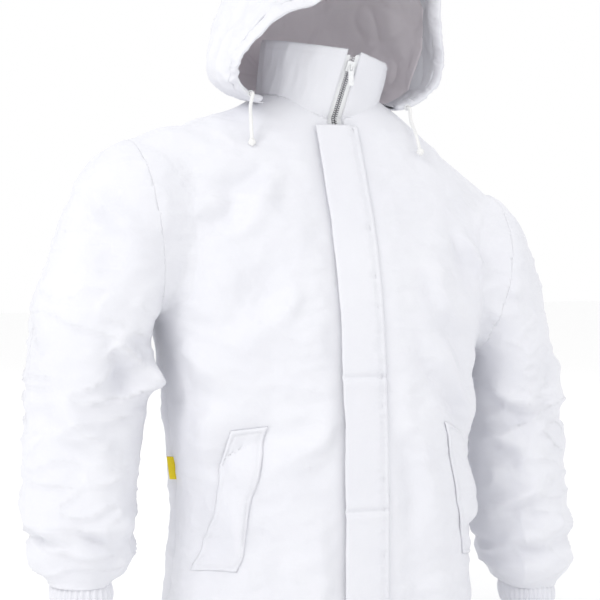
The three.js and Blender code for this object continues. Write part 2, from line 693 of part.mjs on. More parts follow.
function addZip() {
  for (const [name, side] of SIDES) {
    const inner = CHAIN_HALF_WIDTH + GAP;
    const tape = zipStrip(side, inner, TAPE_HALF_WIDTH, TAPE_THICKNESS, ZIP_LEVELS);
    const inBody = tape.trimByPlane([0, 0, -1], 7 - NECK_FRONT_Z).intersect(behindShell);
    const inCollar = tape.trimByPlane([0, 0, 1], NECK_FRONT_Z);
    // between the front edges the tape runs on unbroken from the hem to the collar's top
    const between = zipStrip(side, inner, FRONT_EDGE_X - GAP, TAPE_THICKNESS, ZIP_LEVELS);
    addPiece(`zip_tape_${name}`, largest(inBody.add(inCollar).add(between)), zipTape);
    const chain = zipStrip(side, CHAIN_SLIT, CHAIN_HALF_WIDTH, CHAIN_THICKNESS, ZIP_LEVELS);
    addPiece(`zip_coil_${name}`, chain, zipPlastic);
  }
}

// Two plates joined by a thin post that runs in the slit, with a bail on the outer plate.
function addSlider() {
  const half = SLIDER_WIDTH / 2;
  const low = -SLIDER_LENGTH / 2;
  const high = SLIDER_LENGTH / 2;
  const post = CHAIN_SLIT - 0.35;
  const top = BAIL_FOOT_Y + BAIL_HEIGHT;
  const slider = sliderBlock(-half, half, PLATE_Y, BAIL_FOOT_Y, low, high)
    .add(sliderBlock(-half, half, -BAIL_FOOT_Y, -PLATE_Y, low, high))
    .add(sliderBlock(-post, post, -PLATE_Y - 0.2, PLATE_Y + 0.2, high - 5, high - 1))
    .add(sliderBlock(-1, 1, BAIL_FOOT_Y - 0.2, top, BAIL_HALF - BAIL_BAR, BAIL_HALF))
    .add(sliderBlock(-1, 1, BAIL_FOOT_Y - 0.2, top, -BAIL_HALF, BAIL_BAR - BAIL_HALF))
    .add(sliderBlock(-1, 1, top - BAIL_BAR, top, -BAIL_HALF, BAIL_HALF));
  addPiece("zip_slider", slider, whiteEnamel);
}

// The pull hangs plumb from the bar that passes under the bail.
const pullAxle = new THREE.Vector3(0, BAIL_FOOT_Y + (BAIL_HEIGHT - BAIL_BAR) / 2, 0).applyMatrix4(atSlider);

function addPull() {
  const half = PULL_WIDTH / 2;
  const thin = PULL_THICKNESS / 2;
  const bar = BAIL_HEIGHT - BAIL_BAR - 2 * GAP; // thickness of the bar that lies under the bail
  const plate = block(-half, half, -thin, thin, -PULL_LENGTH, bar / 2);
  const hole = block(-2, 2, -thin - 1, thin + 1, -BAIL_HALF - 2, -bar / 2);
  addPiece("zip_pull", plate.subtract(hole).translate(pullAxle.toArray()), whiteEnamel);
}

// The separating end: a pin on the right tape and a box on the left one.
function addZipEnds() {
  const low = HEM_Z + 1;
  const high = HEM_Z + 5.5;
  addPiece("zip_pin", zipStrip(-1, CHAIN_SLIT, CHAIN_HALF_WIDTH, 2, [low, high]), whiteEnamel);
  addPiece("zip_box", zipStrip(1, CHAIN_SLIT, CHAIN_HALF_WIDTH + 3, 3.4, [low, high]), whiteEnamel);
}

// ---------------------------------------------------------------- storm flap and snaps

// The flap is folded over at its free edge and caught in a seam at the other.
function flapLayer(lift, thickness, inset) {
  const at = (x, z, depth) => frontSurface(x, z, lift + thickness - depth);
  const between = BODY_LEVELS.filter((z) => z < FLAP_TOP_Z);
  const zs = [HEM_Z + 2 + inset, ...between, FLAP_TOP_Z - inset];
  return thickSheet(at, [FLAP_FREE_X + inset, 0, FLAP_SEWN_X - inset], zs, 0, thickness);
}

// A disc or ring on the front, turned to stand on it, between two lifts.
function onFront(z, radius, low, high, recess = 0) {
  const foot = frontSurface(SNAP_X, z);
  const across = frontSurface(SNAP_X + 1, z).sub(foot);
  const up = frontSurface(SNAP_X, z + 1).sub(foot);
  const out = across.cross(up).normalize();
  const turn = new THREE.Matrix4().makeRotationFromQuaternion(
    new THREE.Quaternion().setFromUnitVectors(new THREE.Vector3(0, 1, 0), out),
  );
  turn.setPosition(foot.clone().addScaledVector(out, (low + high) / 2));
  const disc = solidOf(new THREE.CylinderGeometry(radius, radius, high - low, 12), turn);
  if (!recess) return disc;
  return disc.subtract(onFront(z, recess, low - 1, high - 0.6));
}

function addFlap() {
  addPiece("flap_facing", flapLayer(FLAP_STAND_OFF, FLAP_FACING, 1), shellCloth);
  addPiece("storm_flap", flapLayer(FLAP_STAND_OFF + FLAP_FACING + GAP, FLAP_SKIN, 0), flapCloth);
  const socketLow = FLAP_STAND_OFF - GAP - SOCKET_HEIGHT;
  SNAP_LEVELS.forEach((z, i) => {
    const base = onFront(z, SNAP_RADIUS, GAP, GAP + STUD_BASE);
    const post = onFront(z, STUD_RADIUS, GAP, socketLow + 0.8);
    addPiece(`snap_stud_${i + 1}`, base.add(post), studMetal);
    const socket = onFront(z, SNAP_RADIUS, socketLow, socketLow + SOCKET_HEIGHT, SOCKET_RECESS);
    addPiece(`snap_socket_${i + 1}`, socket, studMetal);
  });
}

// ---------------------------------------------------------------- hood

// Control curves, each running from the front edge to the back neck: the neck seam, a low and a
// high one on each side, and the crown. A section of the hood is a cubic from the seam, out over
// the shoulder and up to the crown. The front of the crown falls towards the wearer's left, so the
// right side slopes like a roof and the left one stands.
const HOOD_SEAM = [
  [NECK_HALF_WIDTH + 9, -50, -20],
  [NECK_HALF_WIDTH + 13, 2, -12],
  [NECK_HALF_WIDTH + 6, 34, -4],
  [70, 57, 0],
  [42, 70, 4],
];
const HOOD_LOW = [
  [1.38 * HOOD_HALF_WIDTH, 6, -12],
  [176, 58, 0],
  [112, 96, 10],
  [30, 71, 5],
];
const HOOD_HIGH = [
  [124, 74, 0.88 * HOOD_HEIGHT],
  [84, 124, 0.45 * HOOD_HEIGHT],
  [14, 73, 6],
];
const HOOD_CROWN = [
  [HOOD_FALL, -140, 0.77 * HOOD_HEIGHT],
  [HOOD_FALL / 2, -40, HOOD_HEIGHT],
  [0, 78, 0.86 * HOOD_HEIGHT],
  [0, 124, 0.42 * HOOD_HEIGHT],
  [0, 74, 6],
];
const HOOD_LEFT_FRONT = {
  low: [[1.22 * HOOD_HALF_WIDTH, -86, -34]],
  high: [
    [0.78 * HOOD_HALF_WIDTH, -150, 0.7 * HOOD_HEIGHT],
    [0.86 * HOOD_HALF_WIDTH, -50, HOOD_HEIGHT],
  ],
};
const HOOD_RIGHT_FRONT = {
  low: [[1.78 * HOOD_HALF_WIDTH, -86, 8]],
  high: [
    [0.39 * HOOD_HALF_WIDTH, -150, 0.5 * HOOD_HEIGHT],
    [0.61 * HOOD_HALF_WIDTH, -50, 0.9 * HOOD_HEIGHT],
  ],
};

function hoodCurves(front, side) {
  const mirrored = [HOOD_SEAM, [...front.low, ...HOOD_LOW], [...front.high, ...HOOD_HIGH]];
  const rows = [...mirrored.map((points) => points.map(([x, y, z]) => [side * x, y, z])), HOOD_CROWN];
  const through = (points) => points.map((p) => new THREE.Vector3(...p));
  return rows.map((points) => new THREE.CatmullRomCurve3(through(points), false, "catmullrom"));
}

const hoodLeft = hoodCurves(HOOD_LEFT_FRONT, 1);
const hoodRight = hoodCurves(HOOD_RIGHT_FRONT, -1);
const hoodTurn = new THREE.Matrix4().makeRotationZ(THREE.MathUtils.degToRad(HOOD_TURN));

// A point of the hood's outer surface. across runs from -1 at the right seam, over the crown at
// 0, to 1 at the left seam. along runs from 0 at the front edge to 1 at the back neck.
function hoodSurface(across, along) {
  const curves = across < 0 ? hoodRight : hoodLeft;
  const [seam, low, high, crown] = curves.map((c) => c.getPoint(THREE.MathUtils.clamp(along, 0, 1)));
  const t = 1 - Math.abs(across);
  const r = 1 - t;
  const point = seam.multiplyScalar(r ** 3);
  point.addScaledVector(low, 3 * r * r * t);
  point.addScaledVector(high, 3 * r * t * t);
  return point.addScaledVector(crown, t ** 3);
}

function hoodPoint(across, along, depth) {
  const step = 0.01;
  const a = THREE.MathUtils.clamp(across, -1 + step, 1 - step);
  const b = THREE.MathUtils.clamp(along, step, 1 - step);
  const du = hoodSurface(a + step, b).sub(hoodSurface(a - step, b));
  const dv = hoodSurface(a, b + step).sub(hoodSurface(a, b - step));
  const inward = dv.cross(du).normalize();
  return hoodSurface(across, along).addScaledVector(inward, depth).applyMatrix4(hoodTurn);
}

const SEAM_GAP = 0.003; // between hood panels, as a share of the arch
const HOOD_ALONG = steps(CASING_DEPTH + 0.004, 1, 8);
const HOOD_SIDE = steps(HOOD_CENTRE_SHARE + SEAM_GAP, 1, 6);
const HOOD_CENTRE = steps(-HOOD_CENTRE_SHARE, HOOD_CENTRE_SHARE, 4);

function addHoodPanels() {
  const trimmed = (solid) => largest(solid.subtract(onJacket));
  const mirrored = HOOD_SIDE.map((u) => -u).reverse();
  const under = HOOD_SKIN + 2;
  addPiece("hood_side_left", trimmed(thickSheet(hoodPoint, HOOD_SIDE, HOOD_ALONG, 0, HOOD_SKIN)), shellCloth);
  addPiece("hood_side_right", trimmed(thickSheet(hoodPoint, mirrored, HOOD_ALONG, 0, HOOD_SKIN)), shellCloth);
  addPiece("hood_centre_panel", thickSheet(hoodPoint, HOOD_CENTRE, HOOD_ALONG, 0, HOOD_SKIN), shellCloth);
  const all = [...mirrored.slice(1), ...HOOD_CENTRE.slice(1, -1), ...HOOD_SIDE.slice(0, -1)];
  const inner = thickSheet(hoodPoint, all, HOOD_ALONG.slice(0, -1), under, under + HOOD_LINING);
  addPiece("hood_lining", trimmed(inner), liningCloth);
}

// The casing's frame at a place on the arch: its middle, towards the opening, and outwards.
function casingFrame(across) {
  const depth = CORD_DIAMETER / 2 + 2;
  const middle = hoodPoint(across, CASING_DEPTH / 2, depth);
  const aheadOf = hoodPoint(across, 0, 0).sub(hoodPoint(across, CASING_DEPTH, 0));
  const halfWidth = aheadOf.length() / 2;
  const out = hoodPoint(across, CASING_DEPTH / 2, 0).sub(middle).normalize();
  return { middle, aheadOf: aheadOf.normalize(), out, halfWidth };
}

const CASING_AT = [-CASING_REACH, ...steps(-EYELET_AT, EYELET_AT, 14), CASING_REACH];

// A tube along the casing, of a constant thickness; widthOf gives half its width from the casing's.
function casingLoft(widthOf, halfHeight, places) {
  const sides = 8;
  const ring = (across) => {
    const { middle, aheadOf, out, halfWidth } = casingFrame(across);
    return Array.from({ length: sides }, (_, i) => {
      const turn = (2 * Math.PI * (i + 0.5)) / sides;
      const point = middle.clone().addScaledVector(aheadOf, widthOf(halfWidth) * Math.cos(turn));
      return point.addScaledVector(out, halfHeight * Math.sin(turn));
    });
  };
  return loft(places.map(ring));
}

// Where an eyelet's flat seat lies, ahead of the casing's middle.
const seatAt = (side) => EYELET_SEAT * casingFrame(side * EYELET_AT).halfWidth;

// A disc on the casing's front edge, between two distances ahead of the casing's middle.
function edgeDisc(side, radius, low, high) {
  const { middle, aheadOf } = casingFrame(side * EYELET_AT);
  const turn = new THREE.Quaternion().setFromUnitVectors(new THREE.Vector3(0, 1, 0), aheadOf);
  const place = new THREE.Matrix4().makeRotationFromQuaternion(turn);
  place.setPosition(middle.addScaledVector(aheadOf, (low + high) / 2));
  return solidOf(new THREE.CylinderGeometry(radius, radius, high - low, 12), place);
}

// The casing is a flat tube along the front edge, with a seat and a hole for each eyelet.
function addCasing() {
  const cord = CORD_DIAMETER / 2;
  const past = [-CASING_REACH - 0.02, ...CASING_AT, CASING_REACH + 0.02];
  let casing = casingLoft((width) => width, cord + 2.4, CASING_AT)
    .subtract(casingLoft((width) => width - 2.6, cord + 0.8, past))
    .subtract(onJacket);
  for (const [, side] of SIDES) {
    const seat = seatAt(side);
    casing = casing.subtract(edgeDisc(side, EYELET_OUTER + GAP, seat, seat + 8));
    casing = casing.subtract(edgeDisc(side, EYELET_HOLE, 0, seat + 1));
  }
  addPiece("hood_front_casing", largest(casing), shellCloth);
  addPiece("hood_drawcord", casingLoft(() => cord, cord, CASING_AT.slice(1, -1)), cordCotton);
}

// Everything that shows at one corner of the hood: the eyelet, the cord's free end and its knot.
function addCordEnd(name, side) {
  const low = seatAt(side) + GAP;
  const high = low + EYELET_FLANGE;
  const hole = edgeDisc(side, EYELET_HOLE, low - 1, high + 1);
  addPiece(`hood_eyelet_${name}`, edgeDisc(side, EYELET_OUTER, low, high).subtract(hole), whiteEnamel);

  const { middle, aheadOf } = casingFrame(side * EYELET_AT);
  const start = middle.clone().addScaledVector(aheadOf, high + 4 * GAP);
  // the cord hangs plumb until it meets the chest, then lies on it
  const hanging = (drop) => {
    const rest = frontSurface(start.x, start.z - drop, KNOT_RADIUS + 3);
    rest.y = Math.min(rest.y, start.y - 6);
    return rest;
  };
  const bent = start.clone().addScaledVector(aheadOf, 7);
  const points = [start, bent, ...[0.35, 0.65, 0.95].map((share) => hanging(share * TAIL_LENGTH))];
  const route = new THREE.CatmullRomCurve3(points);
  const circle = new THREE.Shape().absarc(0, 0, CORD_DIAMETER / 2, 0, 2 * Math.PI);
  const tube = new THREE.ExtrudeGeometry(circle, { steps: 10, curveSegments: 8, extrudePath: route });
  addPiece(`drawcord_tail_${name}`, solidOf(tube), cordCotton);
  const end = route.getPoint(1).addScaledVector(route.getTangent(1), KNOT_RADIUS + GAP);
  const knot = new THREE.SphereGeometry(KNOT_RADIUS, 10, 6);
  addPiece(`drawcord_knot_${name}`, solidOf(knot, new THREE.Matrix4().setPosition(end)), cordCotton);
}

// ---------------------------------------------------------------- assembly

addBodyPanels();
addHemFacing();
addSideLabel();
addPockets();
addSleeves();
addCollar();
addHangerLoop();
addZip();
addSlider();
addPull();
addZipEnds();
addFlap();
addHoodPanels();
addCasing();
for (const [name, side] of SIDES) addCordEnd(name, side);

const loopY = NECK_BACK - COLLAR_INSIDE - 1 - LOOP_STAND_OFF - LOOP_THICKNESS / 2;
jacket.position.set(0, -loopY, -LOOP_FOOT_Z);

export default jacket;
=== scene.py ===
# %% [markdown]
# A beekeeper's jacket: white polycotton over a thin wadding, with a hood, a collar that the zip
# runs up into, a storm flap that hides the rest of the zip, slanted pockets and elastic cuffs.
# The hard parts come from the CAD frame. The soft ones are made here, over the same shapes.

# %% The frame, and the box that its parts fill
import math
import bmesh
import bpy
import numpy as np
from mathutils import Matrix, Vector, noise
from mathutils.bvhtree import BVHTree


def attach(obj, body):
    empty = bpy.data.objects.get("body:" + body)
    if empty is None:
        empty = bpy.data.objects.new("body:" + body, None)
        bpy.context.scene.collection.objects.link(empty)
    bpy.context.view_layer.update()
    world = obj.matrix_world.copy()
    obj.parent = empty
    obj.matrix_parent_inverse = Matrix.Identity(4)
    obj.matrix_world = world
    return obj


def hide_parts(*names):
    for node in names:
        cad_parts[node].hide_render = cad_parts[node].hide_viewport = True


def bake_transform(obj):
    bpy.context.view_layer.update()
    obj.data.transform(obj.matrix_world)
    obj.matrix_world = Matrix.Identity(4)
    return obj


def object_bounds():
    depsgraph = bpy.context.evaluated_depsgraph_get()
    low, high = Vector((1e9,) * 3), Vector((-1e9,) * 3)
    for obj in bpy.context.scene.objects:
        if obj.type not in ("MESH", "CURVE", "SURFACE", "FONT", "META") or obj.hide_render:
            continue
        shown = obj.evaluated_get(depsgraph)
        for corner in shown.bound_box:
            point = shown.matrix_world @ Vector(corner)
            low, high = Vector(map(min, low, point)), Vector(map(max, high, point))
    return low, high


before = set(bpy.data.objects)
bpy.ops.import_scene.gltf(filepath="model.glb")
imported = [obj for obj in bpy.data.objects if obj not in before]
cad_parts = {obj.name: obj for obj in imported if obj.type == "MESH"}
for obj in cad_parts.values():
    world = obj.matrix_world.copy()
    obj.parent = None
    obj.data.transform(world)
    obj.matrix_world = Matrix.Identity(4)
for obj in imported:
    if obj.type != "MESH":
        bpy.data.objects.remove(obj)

cad_low, cad_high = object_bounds()
print("CAD box", [round(v, 3) for v in cad_low], [round(v, 3) for v in cad_high])

# %% [markdown]
# The camera stands a little to the wearer's right, level with the chest, about two metres off,
# with a short telephoto lens, which is how clothes are usually shown on a stand.

# %% Camera
VIEW_TURN = math.radians(-23)
VIEW_RISE = math.radians(2.5)
VIEW_DISTANCE = 1.9
VIEW_TARGET = Vector((-0.0175, -0.040, -0.288))

away = Vector((
    math.sin(VIEW_TURN) * math.cos(VIEW_RISE),
    -math.cos(VIEW_TURN) * math.cos(VIEW_RISE),
    math.sin(VIEW_RISE),
))
camera_data = bpy.data.cameras.new("camera")
camera_data.lens = 84
camera = bpy.data.objects.new("camera", camera_data)
camera.location = VIEW_TARGET + away * VIEW_DISTANCE
camera.rotation_euler = away.to_track_quat("Z", "Y").to_euler()
bpy.context.scene.collection.objects.link(camera)
bpy.context.scene.camera = camera
print("camera at", [round(v, 2) for v in camera.location])

# %% [markdown]
# The hood's drawcord comes out of an eyelet at each corner of the hood and hangs on the chest.
# Each free end is one smooth curve with a round section, through the points that the CAD tube
# follows. The jacket's shapes are written in millimetres from the middle of the neck seam, and
# one function takes them to the frame's metres.

# %% The drawcord's two free ends
NECK_MIDDLE = Vector((0, -47.8, -12))  # from the foot of the hanger loop, in millimetres
CORD_DIAMETER = 4.6
TAIL_POINTS = {
    "right": [
        (-119.3, -72.8, -8.9), (-119.3, -79.8, -9.3), (-120.8, -80.1, -16.2), (-121.9, -79.0, -23.2),
        (-122.2, -78.7, -30.4), (-121.9, -78.8, -37.6), (-121.4, -78.8, -44.8), (-121.1, -78.8, -52.0),
        (-120.7, -78.8, -59.2), (-120.4, -78.8, -66.4),
    ],
    "left": [
        (116.2, -48.2, -16.1), (115.9, -55.5, -18.2), (117.3, -54.4, -26.0), (118.4, -54.4, -33.9),
        (118.3, -58.8, -40.6), (117.9, -64.4, -46.5), (117.4, -69.8, -52.4), (117.3, -74.2, -59.2),
        (117.3, -78.0, -66.4), (117.3, -81.6, -73.6),
    ],
}
SIDES = {"right": -1, "left": 1}


def at(x, y, z):
    return (Vector((x, y, z)) + NECK_MIDDLE) / 1000


def link(name, data):
    made = bpy.data.objects.new(name, data)
    bpy.context.scene.collection.objects.link(made)
    return made


def cord_curve(name, points, diameter):
    curve = bpy.data.curves.new(name, "CURVE")
    curve.dimensions = "3D"
    curve.bevel_depth = diameter / 2
    curve.bevel_resolution = 4
    curve.resolution_u = 8
    curve.use_fill_caps = True
    spline = curve.splines.new("BEZIER")
    spline.bezier_points.add(len(points) - 1)
    for knot, point in zip(spline.bezier_points, points):
        knot.co = point
        knot.handle_left_type = "AUTO"
        knot.handle_right_type = "AUTO"
    return link(name, curve)


tails = {}
for side in SIDES:
    points = [at(*p) for p in TAIL_POINTS[side]]
    tails[side] = cord_curve(f"cord_end_{side}", points, CORD_DIAMETER / 1000)
    print("cord end", side, "leaves the hood at", [round(v, 3) for v in points[0]])

# %% [markdown]
# The body is round in the shoulders and nearly flat at the hem, so each level is a squarish oval
# whose half width, front and back come from smooth curves through a few measured heights. The
# sleeve is a row of ovals from the armhole to the cuff, each with an outer and an inner point.

# %% The measured shape
HEM_Z = -760
SHOULDER = (262, -90)
ARMPIT = (232, -312)
CUFF_TOP_Z = -643
NECK_HALF_WIDTH = 84
NECK_FRONT = 68
NECK_BACK = 66
NECK_FRONT_Z = -36
SQUARENESS = 2.35


def through(pairs):
    """A smooth function through (at, value) pairs, whose slopes are those of the neighbours."""
    places = [p[0] for p in pairs]
    values = [p[1] for p in pairs]
    slopes = []
    for i in range(len(pairs)):
        before = max(i - 1, 0)
        after = min(i + 1, len(pairs) - 1)
        slopes.append((values[after] - values[before]) / (places[after] - places[before]))

    def value_at(place):
        i = 0
        while i < len(pairs) - 2 and place > places[i + 1]:
            i += 1
        span = places[i + 1] - places[i]
        t = min(max((place - places[i]) / span, 0), 1)
        rise = values[i + 1] - values[i]
        first = slopes[i] * span - rise
        second = rise - slopes[i + 1] * span
        return values[i] + rise * t + t * (1 - t) * (first * (1 - t) + second * t)

    return value_at


half_width_at = through([
    (HEM_Z, 214), (-450, 212), (-360, 218), (-312, 228), (-200, 252), (-130, 260), (-90, 250),
    (-60, 196), (-30, 130), (-4, NECK_HALF_WIDTH), (14, 60),
])
front_at = through([
    (HEM_Z, -168), (-500, -167), (-312, -154), (-200, -132), (-110, -98), (NECK_FRONT_Z, -NECK_FRONT),
    (-4, -58), (14, -40),
])
back_at = through([
    (HEM_Z, 130), (-450, 120), (-312, 128), (-170, 122), (-90, 104), (-40, 84), (-4, NECK_BACK), (14, 44),
])
# outer point, inner point, half depth and middle of each section of the left sleeve
SLEEVE_SECTIONS = [
    ((170, -86), (160, -286), 84, -4),
    ((262, -90), (232, -312), 98, -4),
    ((298, -108), (235, -325), 98, -4),
    ((328, -146), (236, -338), 96, -3),
    ((352, -204), (238, -354), 93, -2),
    ((370, -275), (238, -378), 89, -1),
    ((388, -355), (239, -416), 85, -2),
    ((399, -445), (241, -470), 80, -6),
    ((402, -525), (245, -535), 77, -16),
    ((398, -582), (254, -590), 71, -26),
    ((386, -622), (274, -630), 58, -33),
    ((370, -642), (296, -646), 45, -36),
    ((370, -668), (296, -672), 45, -38),
]


def oval(middle, reach, depth, sides, squareness=2.0):
    """Points of an oval: reach and depth are its two half axes as vectors."""
    ring = []
    for i in range(sides):
        turn = 2 * math.pi * i / sides
        c = math.cos(turn)
        s = math.sin(turn)
        along = math.copysign(abs(c) ** (2 / squareness), c)
        across = math.copysign(abs(s) ** (2 / squareness), s)
        ring.append(middle + reach * along + depth(s) * across)
    return ring


def body_ring(z, inset, sides=80):
    half = half_width_at(z) - inset
    sink = inset * min(max((z + 190) / 100, 0), 1)

    def depth(s):
        reach = back_at(z) - inset if s > 0 else -front_at(z) - inset
        return Vector((0, reach, 0))

    return oval(Vector((0, 0, z - sink)), Vector((half, 0, 0)), depth, sides, SQUARENESS)


def sleeve_rings(side, inset, between=3, sides=44):
    rows = [(*outer, *inner, half, y) for outer, inner, half, y in SLEEVE_SECTIONS]
    curves = [through(list(enumerate(column))) for column in zip(*rows)]
    rings = []
    for k in range((len(rows) - 1) * between + 1):
        ox, oz, ix, iz, half, y = [curve(k / between) for curve in curves]
        outer = Vector((side * ox, y, oz))
        inner = Vector((side * ix, y, iz))
        middle = (outer + inner) / 2
        reach = outer - middle
        reach = reach * (1 - inset / reach.length)
        rings.append(oval(middle, reach, lambda s: Vector((0, half - inset, 0)), sides))
    return rings


print("half width at the armpit", round(half_width_at(ARMPIT[1])), "mm")

# %% [markdown]
# A garment that has been sewn together is one continuous skin before it is anything else. So the
# body and both sleeves are lofted as closed tubes, and a voxel remesh melts them into one skin
# with even faces. It's cut open at the neck, hem and cuffs only after that.

# %% One skin from three tubes
VOXEL = 4.2
NECK_ROOM = 1.0


def mesh_of(name, bm):
    mesh = bpy.data.meshes.new(name)
    bm.to_mesh(mesh)
    bm.free()
    return mesh


def loft(bm, rings):
    loops = []
    for ring in rings:
        corners = [bm.verts.new(p) for p in ring]
        loops.append([bm.edges.new((a, b)) for a, b in zip(corners, corners[1:] + corners[:1])])
    for low, high in zip(loops, loops[1:]):
        bmesh.ops.bridge_loops(bm, edges=low + high)
    for end in (loops[0], loops[-1]):
        bmesh.ops.edgeloop_fill(bm, edges=end)


def baked(obj):
    """The object's mesh as its modifiers leave it, in place of the plain one."""
    graph = bpy.context.evaluated_depsgraph_get()
    mesh = bpy.data.meshes.new_from_object(obj.evaluated_get(graph), depsgraph=graph)
    obj.modifiers.clear()
    obj.data = mesh
    return obj


def skin(name, inset, voxel):
    bm = bmesh.new()
    levels = [HEM_Z - 24, HEM_Z, -700, -620, -540, -470, -410, -360, -330, -312, -290, -260, -230, -200]
    levels += [-170, -150, -130, -110, -90, -75, -60, -45, -30, -18, -4, 6, 14]
    loft(bm, [body_ring(z, inset) for z in levels])
    for side in SIDES.values():
        loft(bm, sleeve_rings(side, inset))
    bmesh.ops.recalc_face_normals(bm, faces=bm.faces)
    obj = link(name, mesh_of(name, bm))
    remesh = obj.modifiers.new("melt", "REMESH")
    remesh.mode = "VOXEL"
    remesh.voxel_size = voxel
    return baked(obj)


def softened(obj, turns, share=0.5):
    every_axis = {"use_axis_x": True, "use_axis_y": True, "use_axis_z": True}
    bm = bmesh.new()
    bm.from_mesh(obj.data)
    for _ in range(turns):
        bmesh.ops.smooth_vert(bm, verts=bm.verts, factor=share, **every_axis)
    bm.to_mesh(obj.data)
    bm.free()
    return obj


shell = softened(skin("shell", 0, VOXEL), 6)
print("shell skin has", len(shell.data.vertices), "points")

# %% [markdown]
# What makes it cloth is where it folds. Long folds run down from the armholes and across the
# inside of each elbow, the sleeve stacks up on its cuff, and the wadding leaves the rest
# slightly lumpy. Each long fold is a rounded ridge beside a valley, along a line on the front,
# and slow noise bends them all so that none runs straight.

# %% Folds
FOLD_STRENGTH = 1.35  # of every fold's height
# from, to (across and up), height and half width of each fold, in millimetres
BODY_FOLDS = [
    ((-86, -110), (-172, -208), 7, 15),
    ((-209, -338), (-176, -392), 9, 12),
    ((-210, -484), (-168, -412), 9, 14),
    ((-79, -249), (-140, -350), 7, 18),
    ((-44, -398), (-124, -500), 6, 17),
    ((-205, -178), (-160, -142), 7, 13),
    ((-60, -560), (-96, -700), 6, 20),
    ((-150, -600), (-190, -520), 6, 16),
    ((165, -168), (212, -214), 8, 13),
    ((110, -317), (205, -428), 8, 16),
    ((60, -384), (123, -600), 6, 19),
    ((96, -230), (180, -300), 6, 16),
    ((150, -560), (205, -500), 7, 15),
    ((70, -640), (150, -700), 5, 18),
]
SLEEVE_FOLDS = [
    ((-318, -150), (-262, -240), 8, 14),
    ((-296, -332), (-232, -420), 11, 14),
    ((-228, -352), (-292, -428), 9, 13),
    ((-376, -405), (-300, -506), 9, 16),
    ((-404, -556), (-320, -604), 9, 13),
    ((-340, -560), (-262, -576), 8, 11),
    ((-352, -250), (-372, -380), 7, 20),
    ((236, -192), (268, -228), 8, 13),
    ((238, -352), (322, -382), 9, 13),
    ((240, -428), (300, -440), 8, 12),
    ((244, -516), (336, -504), 9, 13),
    ((250, -574), (340, -558), 9, 12),
    ((372, -300), (384, -400), 6, 20),
]
BACK_FOLDS = [
    ((-60, -150), (-190, -240), 7, 18),
    ((60, -150), (190, -250), 7, 18),
    ((-170, -330), (-60, -470), 7, 20),
    ((170, -340), (40, -500), 7, 20),
    ((-40, -540), (-110, -700), 6, 22),
    ((60, -560), (130, -700), 6, 22),
    ((-240, -370), (-340, -400), 8, 14),
    ((240, -380), (340, -400), 8, 14),
    ((-250, -470), (-370, -500), 7, 14),
    ((250, -470), (370, -490), 7, 14),
]
FLAP_FREE_X = -32
FLAP_SEWN_X = 30
ARM_GAP_X = 231  # between the sleeve and the side of the body, below the armpit


def smooth(low, high, value):
    t = np.clip((value - low) / (high - low), 0, 1)
    return t * t * (3 - 2 * t)


def bump(value, middle, width):
    return np.exp(-(((value - middle) / width) ** 2))


def noise_field(points, scale, seed):
    """Noise from -1 to 1 at each point, stretched by scale, which is the size of a lump."""
    offset = Vector((seed * 17.3, seed * 5.1, seed * 9.7))
    scaled = points / np.array(scale)
    return np.array([noise.noise(Vector(p) + offset) for p in scaled]) * 1.6


def fold_field(points, fold, wander):
    """Height of one fold over the plane seen from the front: a ridge with a valley beside it."""
    (x0, z0), (x1, z1), height, width = fold
    run = np.array([x1 - x0, z1 - z0])
    length = np.hypot(*run)
    run = run / length
    offset = points[:, [0, 2]] - np.array([x0, z0])
    along = offset @ run / length
    across = offset @ np.array([-run[1], run[0]]) + wander * width
    ends = smooth(-0.12, 0.3, along) * (1 - smooth(0.62, 1.12, along))
    sharp = width * (0.75 + 0.5 * np.clip(along, 0, 1))
    ridge = np.exp(-((across / sharp) ** 2))
    valley = np.exp(-(((across + 2.0 * sharp) / (1.2 * sharp)) ** 2))
    return FOLD_STRENGTH * height * ends * (ridge - 0.85 * valley)


def seam_distance(points, line):
    """Distance from a seam seen from the front, a line of points that is the same on both sides."""
    flat = np.stack([np.abs(points[:, 0]), points[:, 2]], 1)
    nearest = np.full(len(points), 99.0)
    for a, b in zip(np.array(line[:-1], float), np.array(line[1:], float)):
        share = np.clip((flat - a) @ (b - a) / ((b - a) @ (b - a)), 0, 1)
        nearest = np.minimum(nearest, np.linalg.norm(flat - a - share[:, None] * (b - a), axis=1))
    return nearest


